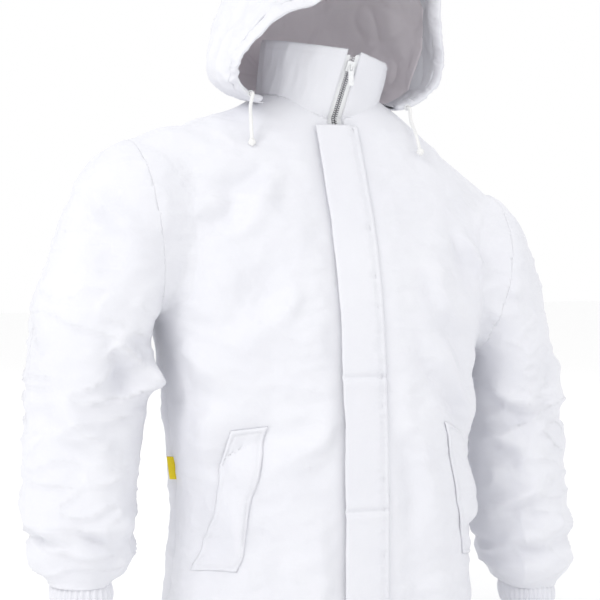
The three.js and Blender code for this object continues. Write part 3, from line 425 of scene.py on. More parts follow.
def cloth_height(points, normals):
    """How far the cloth stands off its plain shape at each point, in millimetres."""
    x, y, z = points.T
    side = np.abs(x)
    wander = noise_field(points, (70, 70, 70), 1)
    facing = smooth(-0.1, 0.7, -normals[:, 1])
    behind = smooth(-0.1, 0.7, normals[:, 1])
    arm = np.where(z > ARMPIT[1], smooth(235, 275, side), smooth(226, 234, side))
    # the zip and the flap lie on a flat strip, and the hem hangs plain
    calm = 1 - (1 - smooth(26, 62, side)) * facing
    near_neck = smooth(-60, NECK_FRONT_Z, z) * (1 - smooth(110, 150, side))
    calm = calm * (0.35 + 0.65 * smooth(HEM_Z, HEM_Z + 70, z)) * (1 - near_neck)
    # and so do the two walls that face each other where the sleeve leaves the body
    facing_walls = 1 - smooth(7, 26, np.abs(side - ARM_GAP_X))
    facing_walls = facing_walls * smooth(-600, -470, z) * (1 - smooth(-325, -300, z))
    calm = calm * (1 - facing_walls)
    height = np.zeros(len(points))
    for fold in BODY_FOLDS:
        height += fold_field(points, fold, wander) * facing * (1 - arm)
    for fold in SLEEVE_FOLDS:
        height += fold_field(points, fold, wander) * smooth(-0.6, 0.1, -normals[:, 1]) * arm
    for fold in BACK_FOLDS:
        height += fold_field(points, fold, wander) * behind
    drape = noise_field(points, (60, 70, 230), 2) * 5
    lumps = noise_field(points, (42, 42, 30), 3) * 2.2
    creases = (1 - np.abs(noise_field(points, (60, 60, 26), 4))) ** 4 * 4.0
    fine = noise_field(points, (15, 15, 12), 5) * 0.7
    height += (drape + lumps) * (1 - 0.4 * arm) + fine
    elbow = bump(z, -400, 90) + 0.8 * bump(z, -575, 55)
    height += arm * creases * (0.5 + elbow) + (1 - arm) * creases * 0.4
    # the sleeve stacks up on its cuff in two soft rolls
    rolls = 8 * bump(z, -604 + 8 * wander, 16) + 5 * bump(z, -560 + 12 * wander, 17)
    rolls = rolls - 5 * bump(z, -583 + 9 * wander, 8)
    height += arm * rolls
    return height * calm


def read_points(obj):
    count = len(obj.data.vertices)
    flat = np.empty(count * 3, np.float32)
    obj.data.vertices.foreach_get("co", flat)
    normals = np.empty(count * 3, np.float32)
    obj.data.vertices.foreach_get("normal", normals)
    return flat.reshape(-1, 3).astype(float), normals.reshape(-1, 3).astype(float)


def write_points(obj, points):
    obj.data.vertices.foreach_set("co", points.astype(np.float32).ravel())
    obj.data.update()


def slouch(points):
    """The jacket hangs lower on the wearer's left, with that sleeve closer to the body. On the right
    the side falls inwards at the waist and the sleeve bows out, which opens a gap between them."""
    x, y, z = points.T
    shoulder = smooth(90, 262, np.abs(x))
    beside = np.where(z > ARMPIT[1], 1, smooth(226, 234, np.abs(x)))
    level = beside + (1 - beside) * smooth(HEM_Z + 40, ARMPIT[1], z)
    lower = np.where(x > 0, -40, 22) * shoulder * level
    closer = np.where(x > 0, -20, 0) * smooth(245, 330, x)
    arm = np.where(z > ARMPIT[1], 0, smooth(226, 234, -x))
    waist = 16 * bump(z, -560, 100) * smooth(140, 210, -x) * (1 - arm)
    bowed = -16 * bump(z, -560, 100) * arm * (1 - smooth(240, 330, -x))
    return points + np.stack([closer + waist + bowed, np.zeros(len(points)), lower], 1)


FRONT_ARMHOLE = [SHOULDER, (228, -114), (204, -158), (197, -220), (206, -282), ARMPIT]
BACK_ARMHOLE = [SHOULDER, (244, -124), (232, -190), (230, -260), ARMPIT]


def seam_dip(points, normals):
    """The pull of each seam's stitching, which draws the cloth in along a narrow line."""
    x, y, z = points.T
    armhole = np.where(y < 0, seam_distance(points, FRONT_ARMHOLE), seam_distance(points, BACK_ARMHOLE))
    under = np.where(z < -60, np.abs(y), 99)
    over = np.where(np.abs(x) > 70, np.abs(y - 2), 99)
    near = np.minimum(armhole, np.minimum(under, over))
    ripple = 0.5 + 0.5 * noise_field(points, (9, 9, 9), 6)
    return -1.5 * bump(near, 0, 2.6) - 0.7 * ripple * bump(near, 9, 3.5)


points, normals = read_points(shell)
height = cloth_height(points, normals) + seam_dip(points, normals)
write_points(shell, points + normals * height[:, None])
print("folds stand from", round(height.min(), 1), "to", round(height.max(), 1), "mm")

# %% [markdown]
# The skin is cut open where the real jacket is open. Planes open the hem, the cuffs and the front
# edges. At the neck the faces inside the collar's oval go, and the rim left behind is drawn out
# to that oval, so that the collar can stand exactly in it.

# %% Openings
FRONT_EDGE_X = 11


def bisect(bm, point, normal, faces):
    edges = {e for f in faces for e in f.edges}
    verts = {v for e in edges for v in e.verts}
    bmesh.ops.bisect_plane(bm, geom=[*faces, *edges, *verts], plane_co=point, plane_no=normal, dist=0.01)


def remove_faces(bm, test):
    doomed = [f for f in bm.faces if test(f.calc_center_median())]
    bmesh.ops.delete(bm, geom=doomed, context="FACES")


def in_neck(p, room):
    deep = NECK_BACK if p.y > 0 else NECK_FRONT
    return p.z > -140 and math.hypot(p.x / (NECK_HALF_WIDTH + room), p.y / (deep + room)) < 1


def opened(obj, inset):
    bm = bmesh.new()
    bm.from_mesh(obj.data)
    hem = [f for f in bm.faces if f.calc_center_median().z < HEM_Z + 20]
    bisect(bm, (0, 0, HEM_Z), (0, 0, 1), hem)
    cuffs = [f for f in bm.faces if f.calc_center_median().z < -600 and abs(f.calc_center_median().x) > 232]
    bisect(bm, (0, 0, CUFF_TOP_Z), (0, 0, 1), cuffs)
    for edge in (-FRONT_EDGE_X, FRONT_EDGE_X):
        front = [f for f in bm.faces if f.calc_center_median().y < 0 and abs(f.calc_center_median().x) < 30]
        bisect(bm, (edge, 0, 0), (1, 0, 0), front)
    remove_faces(bm, lambda c: c.z < HEM_Z or (c.z < CUFF_TOP_Z and abs(c.x) > 232))
    remove_faces(bm, lambda c: abs(c.x) < FRONT_EDGE_X and c.y < 0)
    remove_faces(bm, lambda c: in_neck(c, NECK_ROOM - inset))
    for v in bm.verts:
        if v.is_boundary and v.co.z > -90 and abs(v.co.x) > FRONT_EDGE_X + 0.5 and in_neck(v.co, 14):
            deep = (NECK_BACK if v.co.y > 0 else NECK_FRONT) + NECK_ROOM - inset
            wide = NECK_HALF_WIDTH + NECK_ROOM - inset
            grow = 1 / max(math.hypot(v.co.x / wide, v.co.y / deep), 0.2)
            v.co.x *= grow
            v.co.y *= grow
    bm.to_mesh(obj.data)
    bm.free()
    return obj


shell_tree = BVHTree.FromPolygons(
    [v.co for v in shell.data.vertices], [p.vertices for p in shell.data.polygons],
)
opened(shell, 0)
print("the open shell has", len(shell.data.polygons), "faces")

# %% [markdown]
# A paper pattern is what makes the panels: fronts, back and two halves to each sleeve. The skin
# is cut along those seams, and each panel then gets its own thickness, so that in the result
# they are separate pieces that meet at a seam, as sewn ones do.

# %% Panels
CLOTH = 2.6


def armhole_x(z):
    share = (SHOULDER[1] - z) / (SHOULDER[1] - ARMPIT[1])
    return SHOULDER[0] + (ARMPIT[0] - SHOULDER[0]) * share


def is_arm(c):
    return abs(c.x) > (armhole_x(c.z) if c.z > ARMPIT[1] else ARM_GAP_X)


def panel_of(c):
    side = "left" if c.x > 0 else "right"
    face = "front" if c.y < 0 else "back"
    return f"{'sleeve' if is_arm(c) else 'body'}_{face}_{side}"


def panels(obj):
    bm = bmesh.new()
    bm.from_mesh(obj.data)
    for side in SIDES.values():
        near = [f for f in bm.faces
                if f.calc_center_median().x * side > 190 and f.calc_center_median().z > ARMPIT[1] - 4]
        lean = (SHOULDER[0] - ARMPIT[0]) / (SHOULDER[1] - ARMPIT[1])
        bisect(bm, (side * SHOULDER[0], 0, SHOULDER[1]), (side, 0, -lean), near)
        web = [f for f in bm.faces
               if 200 < f.calc_center_median().x * side < 260 and -430 < f.calc_center_median().z < ARMPIT[1]]
        bisect(bm, (side * ARM_GAP_X, 0, 0), (1, 0, 0), web)
    bisect(bm, (0, 0, 0), (0, 1, 0), list(bm.faces))
    bisect(bm, (0, 0, 0), (1, 0, 0), [f for f in bm.faces if f.calc_center_median().y > 0])
    bm.faces.ensure_lookup_table()
    kinds = [panel_of(f.calc_center_median()) for f in bm.faces]
    made = {}
    for kind in sorted(set(kinds)):
        part = bm.copy()
        part.faces.ensure_lookup_table()
        others = [part.faces[i] for i, k in enumerate(kinds) if k != kind]
        bmesh.ops.delete(part, geom=others, context="FACES")
        made[kind] = part
    bm.free()
    return made


def in_frame(points):
    """Points in millimetres from the neck's middle, as the jacket hangs, in the frame's metres."""
    return (slouch(points) + np.array(NECK_MIDDLE)) / 1000


def placed(obj, hangs=True):
    points, _ = read_points(obj)
    write_points(obj, in_frame(points) if hangs else (points + np.array(NECK_MIDDLE)) / 1000)
    obj.data.shade_smooth()
    return obj


def walled(obj, thickness, side=-1):
    wall = obj.modifiers.new("thickness", "SOLIDIFY")
    wall.thickness = thickness / 1000
    wall.offset = side
    return obj


shell_panels = {}
for kind, part in panels(shell).items():
    obj = placed(link(f"{kind}_panel", mesh_of(kind, part)))
    shell_panels[kind] = walled(obj, CLOTH)
    print(kind, "has", len(obj.data.polygons), "faces")
bpy.data.objects.remove(shell)

# %% [markdown]
# Inside lies a lighter lining with its own thin wadding. It's the same skin made again a little
# smaller, with the same folds but shallower. Where a point still comes too near the shell, it's
# taken back behind it.

# %% Lining
LINING_INSET = 11
LINING_WALL = 1.6
LINING_GAP = 5.5  # kept between the shell and the lining
REACH = 30  # how far inside a point its ray starts
PAST = 14  # how far beyond the point the ray goes on


def kept_inside(points, normals):
    """Takes back each point that lies too near the shell, seen from well inside it."""
    moved = 0
    for i, (point, normal) in enumerate(zip(points, normals)):
        start = Vector(point) - Vector(normal) * REACH
        _, _, _, distance = shell_tree.ray_cast(start, Vector(normal), REACH + PAST)
        if distance is not None and distance < REACH + LINING_GAP:
            points[i] = point - normal * (REACH + LINING_GAP - distance)
            moved += 1
    print(moved, "lining points were taken back behind the shell")
    return points


lining = softened(skin("lining", LINING_INSET, 7), 5)
points, normals = read_points(lining)
height = np.clip(cloth_height(points + normals * LINING_INSET, normals), -15, 3)
write_points(lining, kept_inside(points + normals * height[:, None], normals))
softened(lining, 1, 0.3)
opened(lining, LINING_INSET)
lining_panels = {}
for kind, part in panels(lining).items():
    obj = placed(link(f"{kind}_lining", mesh_of(kind, part)))
    lining_panels[kind] = walled(obj, LINING_WALL)
bpy.data.objects.remove(lining)
print(len(lining_panels), "lining panels")

# %% [markdown]
# Flat trimmings are sheets laid on the cloth. A sheet starts as a grid, and a function says where
# each point of it lies. To lie on the folded cloth, that function drops a ray onto the skin and
# stands off from the place it hits.

# %% Sheets laid on the cloth


def sheet_piece(name, columns, rows, place, thickness, hangs=True, side=-1):
    bm = bmesh.new()
    bmesh.ops.create_grid(bm, x_segments=columns, y_segments=rows, size=1)
    for v in bm.verts:
        v.co = place((v.co.x + 1) / 2, (v.co.y + 1) / 2)
    obj = placed(link(name, mesh_of(name, bm)), hangs)
    return walled(obj, thickness, side)


def on_cloth(tree, x, z, lift):
    hit, normal, _, _ = tree.ray_cast(Vector((x, -500, z)), Vector((0, 1, 0)))
    return hit + normal * lift


def lerp(a, b, t):
    return a + (b - a) * t


FLAP_TOP_Z = -48
FLAP_ACROSS = through([
    (-32, 6.0), (-30, 7.6), (-20, 7.9), (0, 8.2), (14, 8.0), (20, 6.0), (23, 5.2), (26, 5.4), (28.5, 3.6),
    (30.5, 0.8),
])
QUILTED_LINES = (-366, -533)


def flap_point(u, w):
    x = lerp(FLAP_FREE_X, FLAP_SEWN_X + 0.5, u)
    z = lerp(HEM_Z + 2, FLAP_TOP_Z, w)
    lift = FLAP_ACROSS(x)
    free = 1 - u
    lift += 1.4 * free * noise.noise(Vector((3.1, x / 60, z / 55)))
    pucker = noise.noise(Vector((7.7, x / 30, z / 9))) + 0.6 * noise.noise(Vector((1.7, x / 20, z / 5)))
    lift += 1.7 * pucker * math.exp(-(((x - 19) / 8) ** 2))
    for line in QUILTED_LINES:
        stitched = -2.2 * math.exp(-(((z - line) / 2.6) ** 2))
        lift += stitched + 0.9 * math.exp(-(((abs(z - line) - 9) / 6) ** 2))
    drift = 1.6 * noise.noise(Vector((5.5, 0, z / 90))) * free
    return on_cloth(shell_tree, x + drift, z, max(lift, 0.6))


def facing_point(u, w):
    x = lerp(FLAP_FREE_X + 2, FLAP_SEWN_X - 9, u)
    z = lerp(HEM_Z + 4, FLAP_TOP_Z - 2, w)
    return on_cloth(shell_tree, x, z, 5.2)


flap = sheet_piece("storm_flap_outer", 40, 360, flap_point, 1.6)
flap_lining = sheet_piece("storm_flap_facing", 16, 90, facing_point, 1.0)
print("flap from", round(HEM_Z + 2), "to", FLAP_TOP_Z)

# %% [markdown]
# Each front has a slanted pocket with a wide welt, stitched down along three sides. Its open edge,
# towards the side seam, stands slightly proud. The bag hangs behind it, between shell and lining.

# %% Pockets
WELT_WIDTH = 46
WELT_LENGTH = 186
WELT_TOP = (142, -432)
WELT_SLANT = 41
BAG_WIDTH = 116
BAG_TOP_Z = -440
BAG_BOTTOM_Z = -690


def welt_point(side):
    def place(u, w):
        across = lerp(-WELT_WIDTH / 2, WELT_WIDTH / 2, u)
        x = side * (WELT_TOP[0] + WELT_SLANT * (1 - w)) + across
        z = WELT_TOP[1] - math.sqrt(WELT_LENGTH ** 2 - WELT_SLANT ** 2) * (1 - w) - 0.22 * side * across
        edge = min(WELT_WIDTH / 2 - abs(across), WELT_LENGTH * min(w, 1 - w))
        outer = side * across / (WELT_WIDTH / 2)
        lift = 1.4 + 2.2 * min(edge / 3, 1) - 1.3 * math.exp(-(((edge - 6) / 1.4) ** 2))
        lift += 2.6 * max(outer, 0) ** 3 * math.sin(math.pi * w)
        lift += 0.8 * noise.noise(Vector((across / 18, side, z / 26)))
        return on_cloth(shell_tree, x, z, lift)
    return place


def bag_point(side):
    def place(u, w):
        outwards = lerp(-BAG_WIDTH, BAG_WIDTH * 0.3, u if side > 0 else 1 - u)
        x = side * (WELT_TOP[0] + WELT_SLANT / 2) + outwards * side
        return on_cloth(shell_tree, x, lerp(BAG_BOTTOM_Z, BAG_TOP_Z, w), -5.0)
    return place


welts = {}
bags = {}
for name, side in SIDES.items():
    welts[name] = sheet_piece(f"pocket_welt_{name}_cloth", 24, 90, welt_point(side), 1.4)
    bags[name] = sheet_piece(f"pocket_bag_{name}_cloth", 20, 40, bag_point(side), 0.7)
print("welts", WELT_WIDTH, "by", WELT_LENGTH, "mm")

# %% [markdown]
# The collar stands round the neck in two layers and opens in front. It leans forward and a little
# towards the wearer's left, because the unzipped top of a soft collar falls to one side.

# %% Collar
COLLAR_FRONT_HEIGHT = 86
COLLAR_LEAN = 30
COLLAR_SKEW = 16


def collar_point(turn, z, depth):
    deep = NECK_BACK if math.sin(turn) > 0 else NECK_FRONT
    risen = max(z - NECK_FRONT_Z, 0) / COLLAR_FRONT_HEIGHT
    front = (1 - math.sin(turn)) / 2
    x = (NECK_HALF_WIDTH - depth) * math.cos(turn) + COLLAR_SKEW * risen * front
    y = (deep - depth) * math.sin(turn) - COLLAR_LEAN * risen * front
    return Vector((x, y, z))


def collar_top(turn):
    back = (1 + math.sin(turn)) / 2
    return lerp(50, 74, back) - 13 * math.cos(turn) - 7 * abs(math.cos(turn))


def collar_layer(depth, foot_front, foot_back, drop):
    first = math.asin((FRONT_EDGE_X - 1) / NECK_HALF_WIDTH) - math.pi / 2

    def place(u, w):
        turn = lerp(first, math.pi - first, u)
        back = (1 + math.sin(turn)) / 2
        low = lerp(foot_front, foot_back, back)
        z = lerp(low, collar_top(turn) - drop, w)
        buckle = noise.noise(Vector((4 * math.cos(turn), 4 * math.sin(turn), z / 60 + 3)))
        fine = noise.noise(Vector((11 * math.cos(turn), 11 * math.sin(turn), z / 30)))
        away_from_zip = min(abs(math.cos(turn)) * 3 + max(math.sin(turn), 0), 1)
        roll = 1.6 * smooth(0.93, 1.0, w)
        give = (2.6 * buckle + 1.0 * fine) * away_from_zip * smooth(0.15, 0.5, w)
        stitch = 0.9 * math.exp(-(((z - collar_top(turn) + 8) / 1.3) ** 2))
        return collar_point(turn, z, depth - give + roll + stitch * (1 if depth < 1 else 0))
    return place


collar = sheet_piece("collar_outer_cloth", 150, 40, collar_layer(0.4, -50, -22, 0), 2.2, hangs=False)
collar_inner = sheet_piece("collar_lining_cloth", 120, 26, collar_layer(5.2, -50, -26, 1.2), 2.0, hangs=False)
print("collar top", round(collar_top(-math.pi / 2)), "to", round(collar_top(math.pi / 2)), "mm")

# %% [markdown]
# The hood is one arch of cloth from the neck seam on one side, over the crown, to the other. Four
# curves from front to back hold it: the seam, a low one that swells over the shoulder, a high one
# and the crown. A point between them is a Bezier cubic of the four, so the arch is always round.

# %% Hood shape
HOOD_TURN = Matrix.Rotation(math.radians(6), 3, "Z")
HOOD_CENTRE_SHARE = 0.3
CASING_DEPTH = 0.075
CASING_REACH = 0.975
HOOD_SEAM = [(93, -50, -20), (97, 2, -12), (90, 34, -4), (70, 57, 0), (42, 70, 4)]
HOOD_LOW = [(221, 6, -12), (176, 58, 0), (112, 96, 10), (30, 71, 5)]
HOOD_HIGH = [(124, 74, 208), (84, 124, 106), (14, 73, 6)]
HOOD_CROWN = [(80, -140, 182), (40, -40, 236), (0, 78, 203), (0, 124, 99), (0, 74, 6)]
HOOD_FRONTS = {
    "left": ([(195, -86, -34)], [(125, -150, 165), (138, -50, 236)]),
    "right": ([(285, -86, 8)], [(62, -150, 118), (98, -50, 212)]),
}


def spline_point(points, t):
    """A point of the Catmull-Rom curve through the points, at a share of its way."""
    ends = [Vector(p) for p in points]
    ends = [2 * ends[0] - ends[1], *ends, 2 * ends[-1] - ends[-2]]
    place = min(max(t, 0), 1) * (len(points) - 1)
    i = min(int(place), len(points) - 2)
    s = place - i
    a, b, c, d = ends[i:i + 4]
    square = 2 * a - 5 * b + 4 * c - d
    cube = 3 * b - a - 3 * c + d
    return 0.5 * (2 * b + (c - a) * s + square * s * s + cube * s ** 3)


def hood_curves(side):
    low, high = HOOD_FRONTS[side]
    mirrored = [HOOD_SEAM, low + HOOD_LOW, high + HOOD_HIGH]
    return [[(SIDES[side] * x, y, z) for x, y, z in row] for row in mirrored] + [HOOD_CROWN]


HOOD_CURVES = {side: hood_curves(side) for side in SIDES}


def hood_surface(across, along):
    curves = HOOD_CURVES["right" if across < 0 else "left"]
    seam, low, high, crown = [spline_point(c, along) for c in curves]
    t = 1 - abs(across)
    r = 1 - t
    return seam * r ** 3 + low * (3 * r * r * t) + high * (3 * r * t * t) + crown * t ** 3


def hood_frame(across, along):
    step = 0.01
    a = min(max(across, step - 1), 1 - step)
    b = min(max(along, step), 1 - step)
    du = hood_surface(a + step, b) - hood_surface(a - step, b)
    dv = hood_surface(a, b + step) - hood_surface(a, b - step)
    return hood_surface(across, along), dv.cross(du).normalized()


def hood_wrinkle(point, across, along):
    """Soft dents and drag lines of an unlined, empty hood, which grow towards its middle."""
    slow = noise.noise(Vector((point.x / 75, point.y / 75 + 4, point.z / 75)))
    mid = noise.noise(Vector((point.x / 34, point.y / 38 + 9, point.z / 52)))
    ridge = (1 - abs(noise.noise(Vector((point.x / 60 + 8, point.y / 30, point.z / 46))))) ** 5
    fine = noise.noise(Vector((point.x / 13, point.y / 13, point.z / 13 + 2)))
    free = smooth(0, 0.16, 1 - abs(across)) * (1 - smooth(0.8, 1, along))
    seam = math.exp(-(((abs(across) - HOOD_CENTRE_SHARE) / 0.012) ** 2))
    gather = noise.noise(Vector((across * 34, 3, along * 5))) * math.exp(-(((along - 0.08) / 0.07) ** 2))
    return free * (9 * slow + 4.5 * mid + 4 * ridge + 0.8 * fine) + 2.2 * gather - 1.6 * seam - 2.5 * free


def hood_point(across, along, depth):
    point, inward = hood_frame(across, along)
    give = min(hood_wrinkle(point, across, along), 6.5)
    return HOOD_TURN @ (point + inward * (depth - give))


def hood_sheet(name, low, high, columns, first, last, rows, depth, thickness):
    def place(u, w):
        return hood_point(lerp(low, high, u), lerp(first, last, w), depth)
    return sheet_piece(name, columns, rows, place, thickness, hangs=False)


# each panel's first and last place on the arch, and its columns
HOOD_PANELS = {
    "left": ("hood_side_left_cloth", HOOD_CENTRE_SHARE, 0.995, 64),
    "right": ("hood_side_right_cloth", -0.995, -HOOD_CENTRE_SHARE, 64),
    "centre": ("hood_centre_cloth", -HOOD_CENTRE_SHARE, HOOD_CENTRE_SHARE, 56),
}
hood_panels = {
    kind: hood_sheet(*panel, 0.055, 0.985, 90, 0, 1.8) for kind, panel in HOOD_PANELS.items()
}
hood_facing = hood_sheet("hood_inner_facing", -0.985, 0.985, 150, 0.06, 0.2, 16, 4.6, 1.4)
hood_lining = hood_sheet("hood_lining_cloth", -0.985, 0.985, 150, 0.195, 0.95, 64, 4.8, 1.4)
print("hood panels", sorted(hood_panels))

# %% [markdown]
# The hem along the hood's opening is a tunnel for the drawcord. It's a flat tube, gathered by the
# cord, so a tube is lofted along the front edge, and small ruffles squeeze it in and out.

# %% Drawcord tunnel, eyelets, cord and knots


def tunnel_frame(across):
    half_cord = CORD_DIAMETER / 2
    middle = hood_point(across, CASING_DEPTH / 2, half_cord + 2)
    ahead = hood_point(across, 0, 0) - hood_point(across, CASING_DEPTH, 0)
    out = hood_point(across, CASING_DEPTH / 2, 0) - middle
    return middle, ahead.normalized(), out.normalized(), ahead.length / 2


def tube_piece(name, rings, body=None):
    bm = bmesh.new()
    loft(bm, rings)
    bmesh.ops.recalc_face_normals(bm, faces=bm.faces)
    return placed(link(name, mesh_of(name, bm)), hangs=False)


def tunnel_rings(wide, high, count, reach, ruffle):
    rings = []
    for i in range(count + 1):
        across = lerp(-reach, reach, i / count)
        middle, ahead, out, half = tunnel_frame(across)
        swell = 1 + ruffle * noise.noise(Vector((across * 60, 1.5, 0)))
        ring = []
        for k in range(14):
            turn = 2 * math.pi * k / 14
            forward = ahead * (wide(half) * math.cos(turn))
            ring.append(middle + forward + out * (high * swell * math.sin(turn)))
        rings.append(ring)
    return rings


tunnel = tube_piece("hood_tunnel", tunnel_rings(lambda half: half, 4.6, 260, CASING_REACH, 0.4))
inner_cord = tube_piece("hood_cord_inside", tunnel_rings(lambda half: 1.9, 1.9, 120, 0.9, 0))


def turned(obj_bm, direction, place):
    turn = Vector((0, 0, 1)).rotation_difference(direction).to_matrix().to_4x4()
    bmesh.ops.transform(obj_bm, matrix=Matrix.Translation(place) @ turn, verts=obj_bm.verts)


def eyelet(name, place, direction):
    """A rolled metal ring: a small round section spun about the hole."""
    bm = bmesh.new()
    bmesh.ops.create_circle(bm, segments=12, radius=1.0, cap_ends=False)
    bmesh.ops.rotate(bm, matrix=Matrix.Rotation(math.pi / 2, 3, "X"), verts=bm.verts)
    bmesh.ops.scale(bm, vec=(1, 1, 0.7), verts=bm.verts)
    bmesh.ops.translate(bm, vec=(3.5, 0, 0), verts=bm.verts)
    geom = [*bm.verts, *bm.edges]
    bmesh.ops.spin(bm, geom=geom, axis=(0, 0, 1), cent=(0, 0, 0), angle=2 * math.pi, steps=28, use_merge=True)
    bmesh.ops.remove_doubles(bm, verts=bm.verts, dist=0.01)
    bmesh.ops.recalc_face_normals(bm, faces=bm.faces)
    turned(bm, direction, place)
    return placed(link(name, mesh_of(name, bm)), hangs=False)


def knot(name, place, direction):
    """The end of the cord, knotted once: a ball with the winding of the cord pressed into it."""
    bm = bmesh.new()
    bmesh.ops.create_uvsphere(bm, u_segments=28, v_segments=18, radius=4.6)
    for v in bm.verts:
        turn = math.atan2(v.co.y, v.co.x)
        groove = math.sin(2 * turn + v.co.z * 1.1)
        v.co += v.normal * (0.55 * groove)
        v.co.z *= 1.15
    bmesh.ops.recalc_face_normals(bm, faces=bm.faces)
    turned(bm, direction, place)
    return placed(link(name, mesh_of(name, bm)), hangs=False)


eyelets = {}
knots = {}
for name, side in SIDES.items():
    route = [Vector(p) for p in TAIL_POINTS[name]]
    start_way = (route[1] - route[0]).normalized()
    end_way = (route[-1] - route[-2]).normalized()
    eyelets[name] = eyelet(f"hood_eyelet_{name}_ring", route[0] - start_way * 0.4, start_way)
    knots[name] = knot(f"cord_knot_{name}", route[-1] + end_way * 4.2, end_way)
print("eyelets and knots", sorted(eyelets))

# %% [markdown]
# A cuff is a short band gathered by elastic. Its fullness stands out in small even pleats, which
# are a ripple round the band, deepest at its middle.

# %% Cuffs
CUFF_PLEATS = 30


def cuff_rings(side, inset, pleat, low, high, steps_down):
    rings = []
    for k in range(steps_down + 1):
        share = k / steps_down
        z = lerp(high, low, share)
        middle = Vector((side * 333, lerp(-36, -38, share), z))
        ring = []
        for i in range(240):
            turn = 2 * math.pi * i / 240
            swell = 3.0 * math.sin(math.pi * share)
            wave = math.sin(CUFF_PLEATS * turn + 1.2 * math.sin(3 * turn) + 0.5 * share)
            reach = 1 + (pleat * wave * (0.4 + 0.6 * math.sin(math.pi * share)) + swell - inset) / 41
            ring.append(middle + Vector((37 * math.cos(turn), 45 * math.sin(turn), 0)) * reach)
        rings.append(ring)
    return rings


def open_tube(name, rings, thickness, hangs=True):
    bm = bmesh.new()
    loops = []
    for ring in rings:
        corners = [bm.verts.new(p) for p in ring]
        loops.append([bm.edges.new((a, b)) for a, b in zip(corners, corners[1:] + corners[:1])])
    for low, high in zip(loops, loops[1:]):
        bmesh.ops.bridge_loops(bm, edges=low + high)
    bmesh.ops.recalc_face_normals(bm, faces=bm.faces)
    return walled(placed(link(name, mesh_of(name, bm)), hangs), thickness)


cuffs = {}
elastics = {}
for name, side in SIDES.items():
    cuffs[name] = open_tube(f"cuff_casing_{name}_cloth", cuff_rings(side, 0.2, 1.5, -671, -640, 14), 1.2)
    elastics[name] = open_tube(f"cuff_elastic_{name}_band", cuff_rings(side, 4.2, 0.6, -667, -647, 6), 1.2)
print("cuffs", sorted(cuffs))

# %% [markdown]
# Small things sewn in: the turned-up hem, a folded label in the side seam, and the ribbon loop
# behind the neck that the jacket hangs from.

# %% Hem, label and loop
HEM_FACING = 40
LABEL_Z = -502


def hem_rings():
    return [body_ring(lerp(HEM_Z + 1, HEM_Z + HEM_FACING, k / 6), 5.4, 160) for k in range(7)]


hem = open_tube("hem_facing_cloth", hem_rings(), 1.0)
front_gap = bmesh.new()
front_gap.from_mesh(hem.data)
remove_faces(front_gap, lambda c: abs(c.x) < (FRONT_EDGE_X + 2) / 1000 and c.y < 0)
front_gap.to_mesh(hem.data)
front_gap.free()

side_hit, _, _, _ = shell_tree.ray_cast(Vector((-150, 0, LABEL_Z)), Vector((-1, 0, 0)))


def label_point(u, w):
    """A ribbon folded in half: out from the seam, round the fold, and back behind."""
    fold = (u - 0.5) * 2
    out = 10 * (1 - abs(fold) ** 3)
    curl = 1.2 * math.sin(2.2 * w) * (1 - abs(fold))
    return Vector((side_hit.x + 1 - out, 0.9 * math.tanh(3 * fold) + curl, LABEL_Z + 28 * (w - 0.5)))


def loop_point(u, w):
    x = lerp(-30.5, 30.5, u)
    bow = 1 - abs(2 * u - 1) ** 5
    return Vector((x, 52.4 - 6.2 * bow, lerp(12.4, 17.6, w) + 0.4 * math.sin(5 * u)))


label = sheet_piece("side_label_ribbon", 24, 20, label_point, 0.5)
loop = sheet_piece("hanger_ribbon", 40, 6, loop_point, 0.9, hangs=False, side=0)
print("label at", round(side_hit.x), "mm across")

# %% [markdown]
# The zip's chain is two rows of small moulded teeth. One tooth is a bevelled block of a few dozen
# faces, and it's copied along the chain at the pitch of a number five zip, on each side in turn.

# %% Zip teeth
TOOTH_PITCH = 2.6
ZIP_TOP_Z = 44
TOOTH_COUNT = int((ZIP_TOP_Z - HEM_Z - 8) / TOOTH_PITCH)


def zip_place(z):
    risen = max(z - NECK_FRONT_Z, 0) / COLLAR_FRONT_HEIGHT
    deep = -front_at(min(z, NECK_FRONT_Z)) - lerp(3.2, 4.8, min(risen * 4, 1))
    return Vector((COLLAR_SKEW * risen, -deep - COLLAR_LEAN * risen, z))


def teeth(name, side):
    bm = bmesh.new()
    bmesh.ops.create_cube(bm, size=1)
    bmesh.ops.scale(bm, vec=(2.7, 1.9, 1.25), verts=bm.verts)
    bmesh.ops.bevel(bm, geom=[*bm.edges], offset=0.3, affect="EDGES", segments=1, profile=0.5, material=-1)
    bmesh.ops.translate(bm, vec=(side * 2.05, 0, 0), verts=bm.verts)
    chain = bmesh.new()
    mesh = bpy.data.meshes.new("tooth")
    bm.to_mesh(mesh)
    for i in range(TOOTH_COUNT):
        z = HEM_Z + 7 + TOOTH_PITCH * (i + (0.5 if side > 0 else 0))
        here = zip_place(z)
        way = (zip_place(z + 2) - zip_place(z - 2)).normalized()
        turn = Vector((0, 0, 1)).rotation_difference(way).to_matrix().to_4x4()
        before = len(chain.verts)
        chain.from_mesh(mesh)
        chain.verts.ensure_lookup_table()
        bmesh.ops.transform(chain, matrix=Matrix.Translation(here) @ turn, verts=chain.verts[before:])
    bm.free()
    bpy.data.meshes.remove(mesh)
    return placed(link(name, mesh_of(name, chain)), hangs=False)


chains = {name: teeth(f"zip_teeth_{name}", side) for name, side in SIDES.items()}
print("teeth on each side", TOOTH_COUNT)

# %% [markdown]
# Materials are written as sums. A small class wraps a socket, so that adding or multiplying two
# wires adds the Math node that does it, and one method adds any other node.

# %% A way to write materials


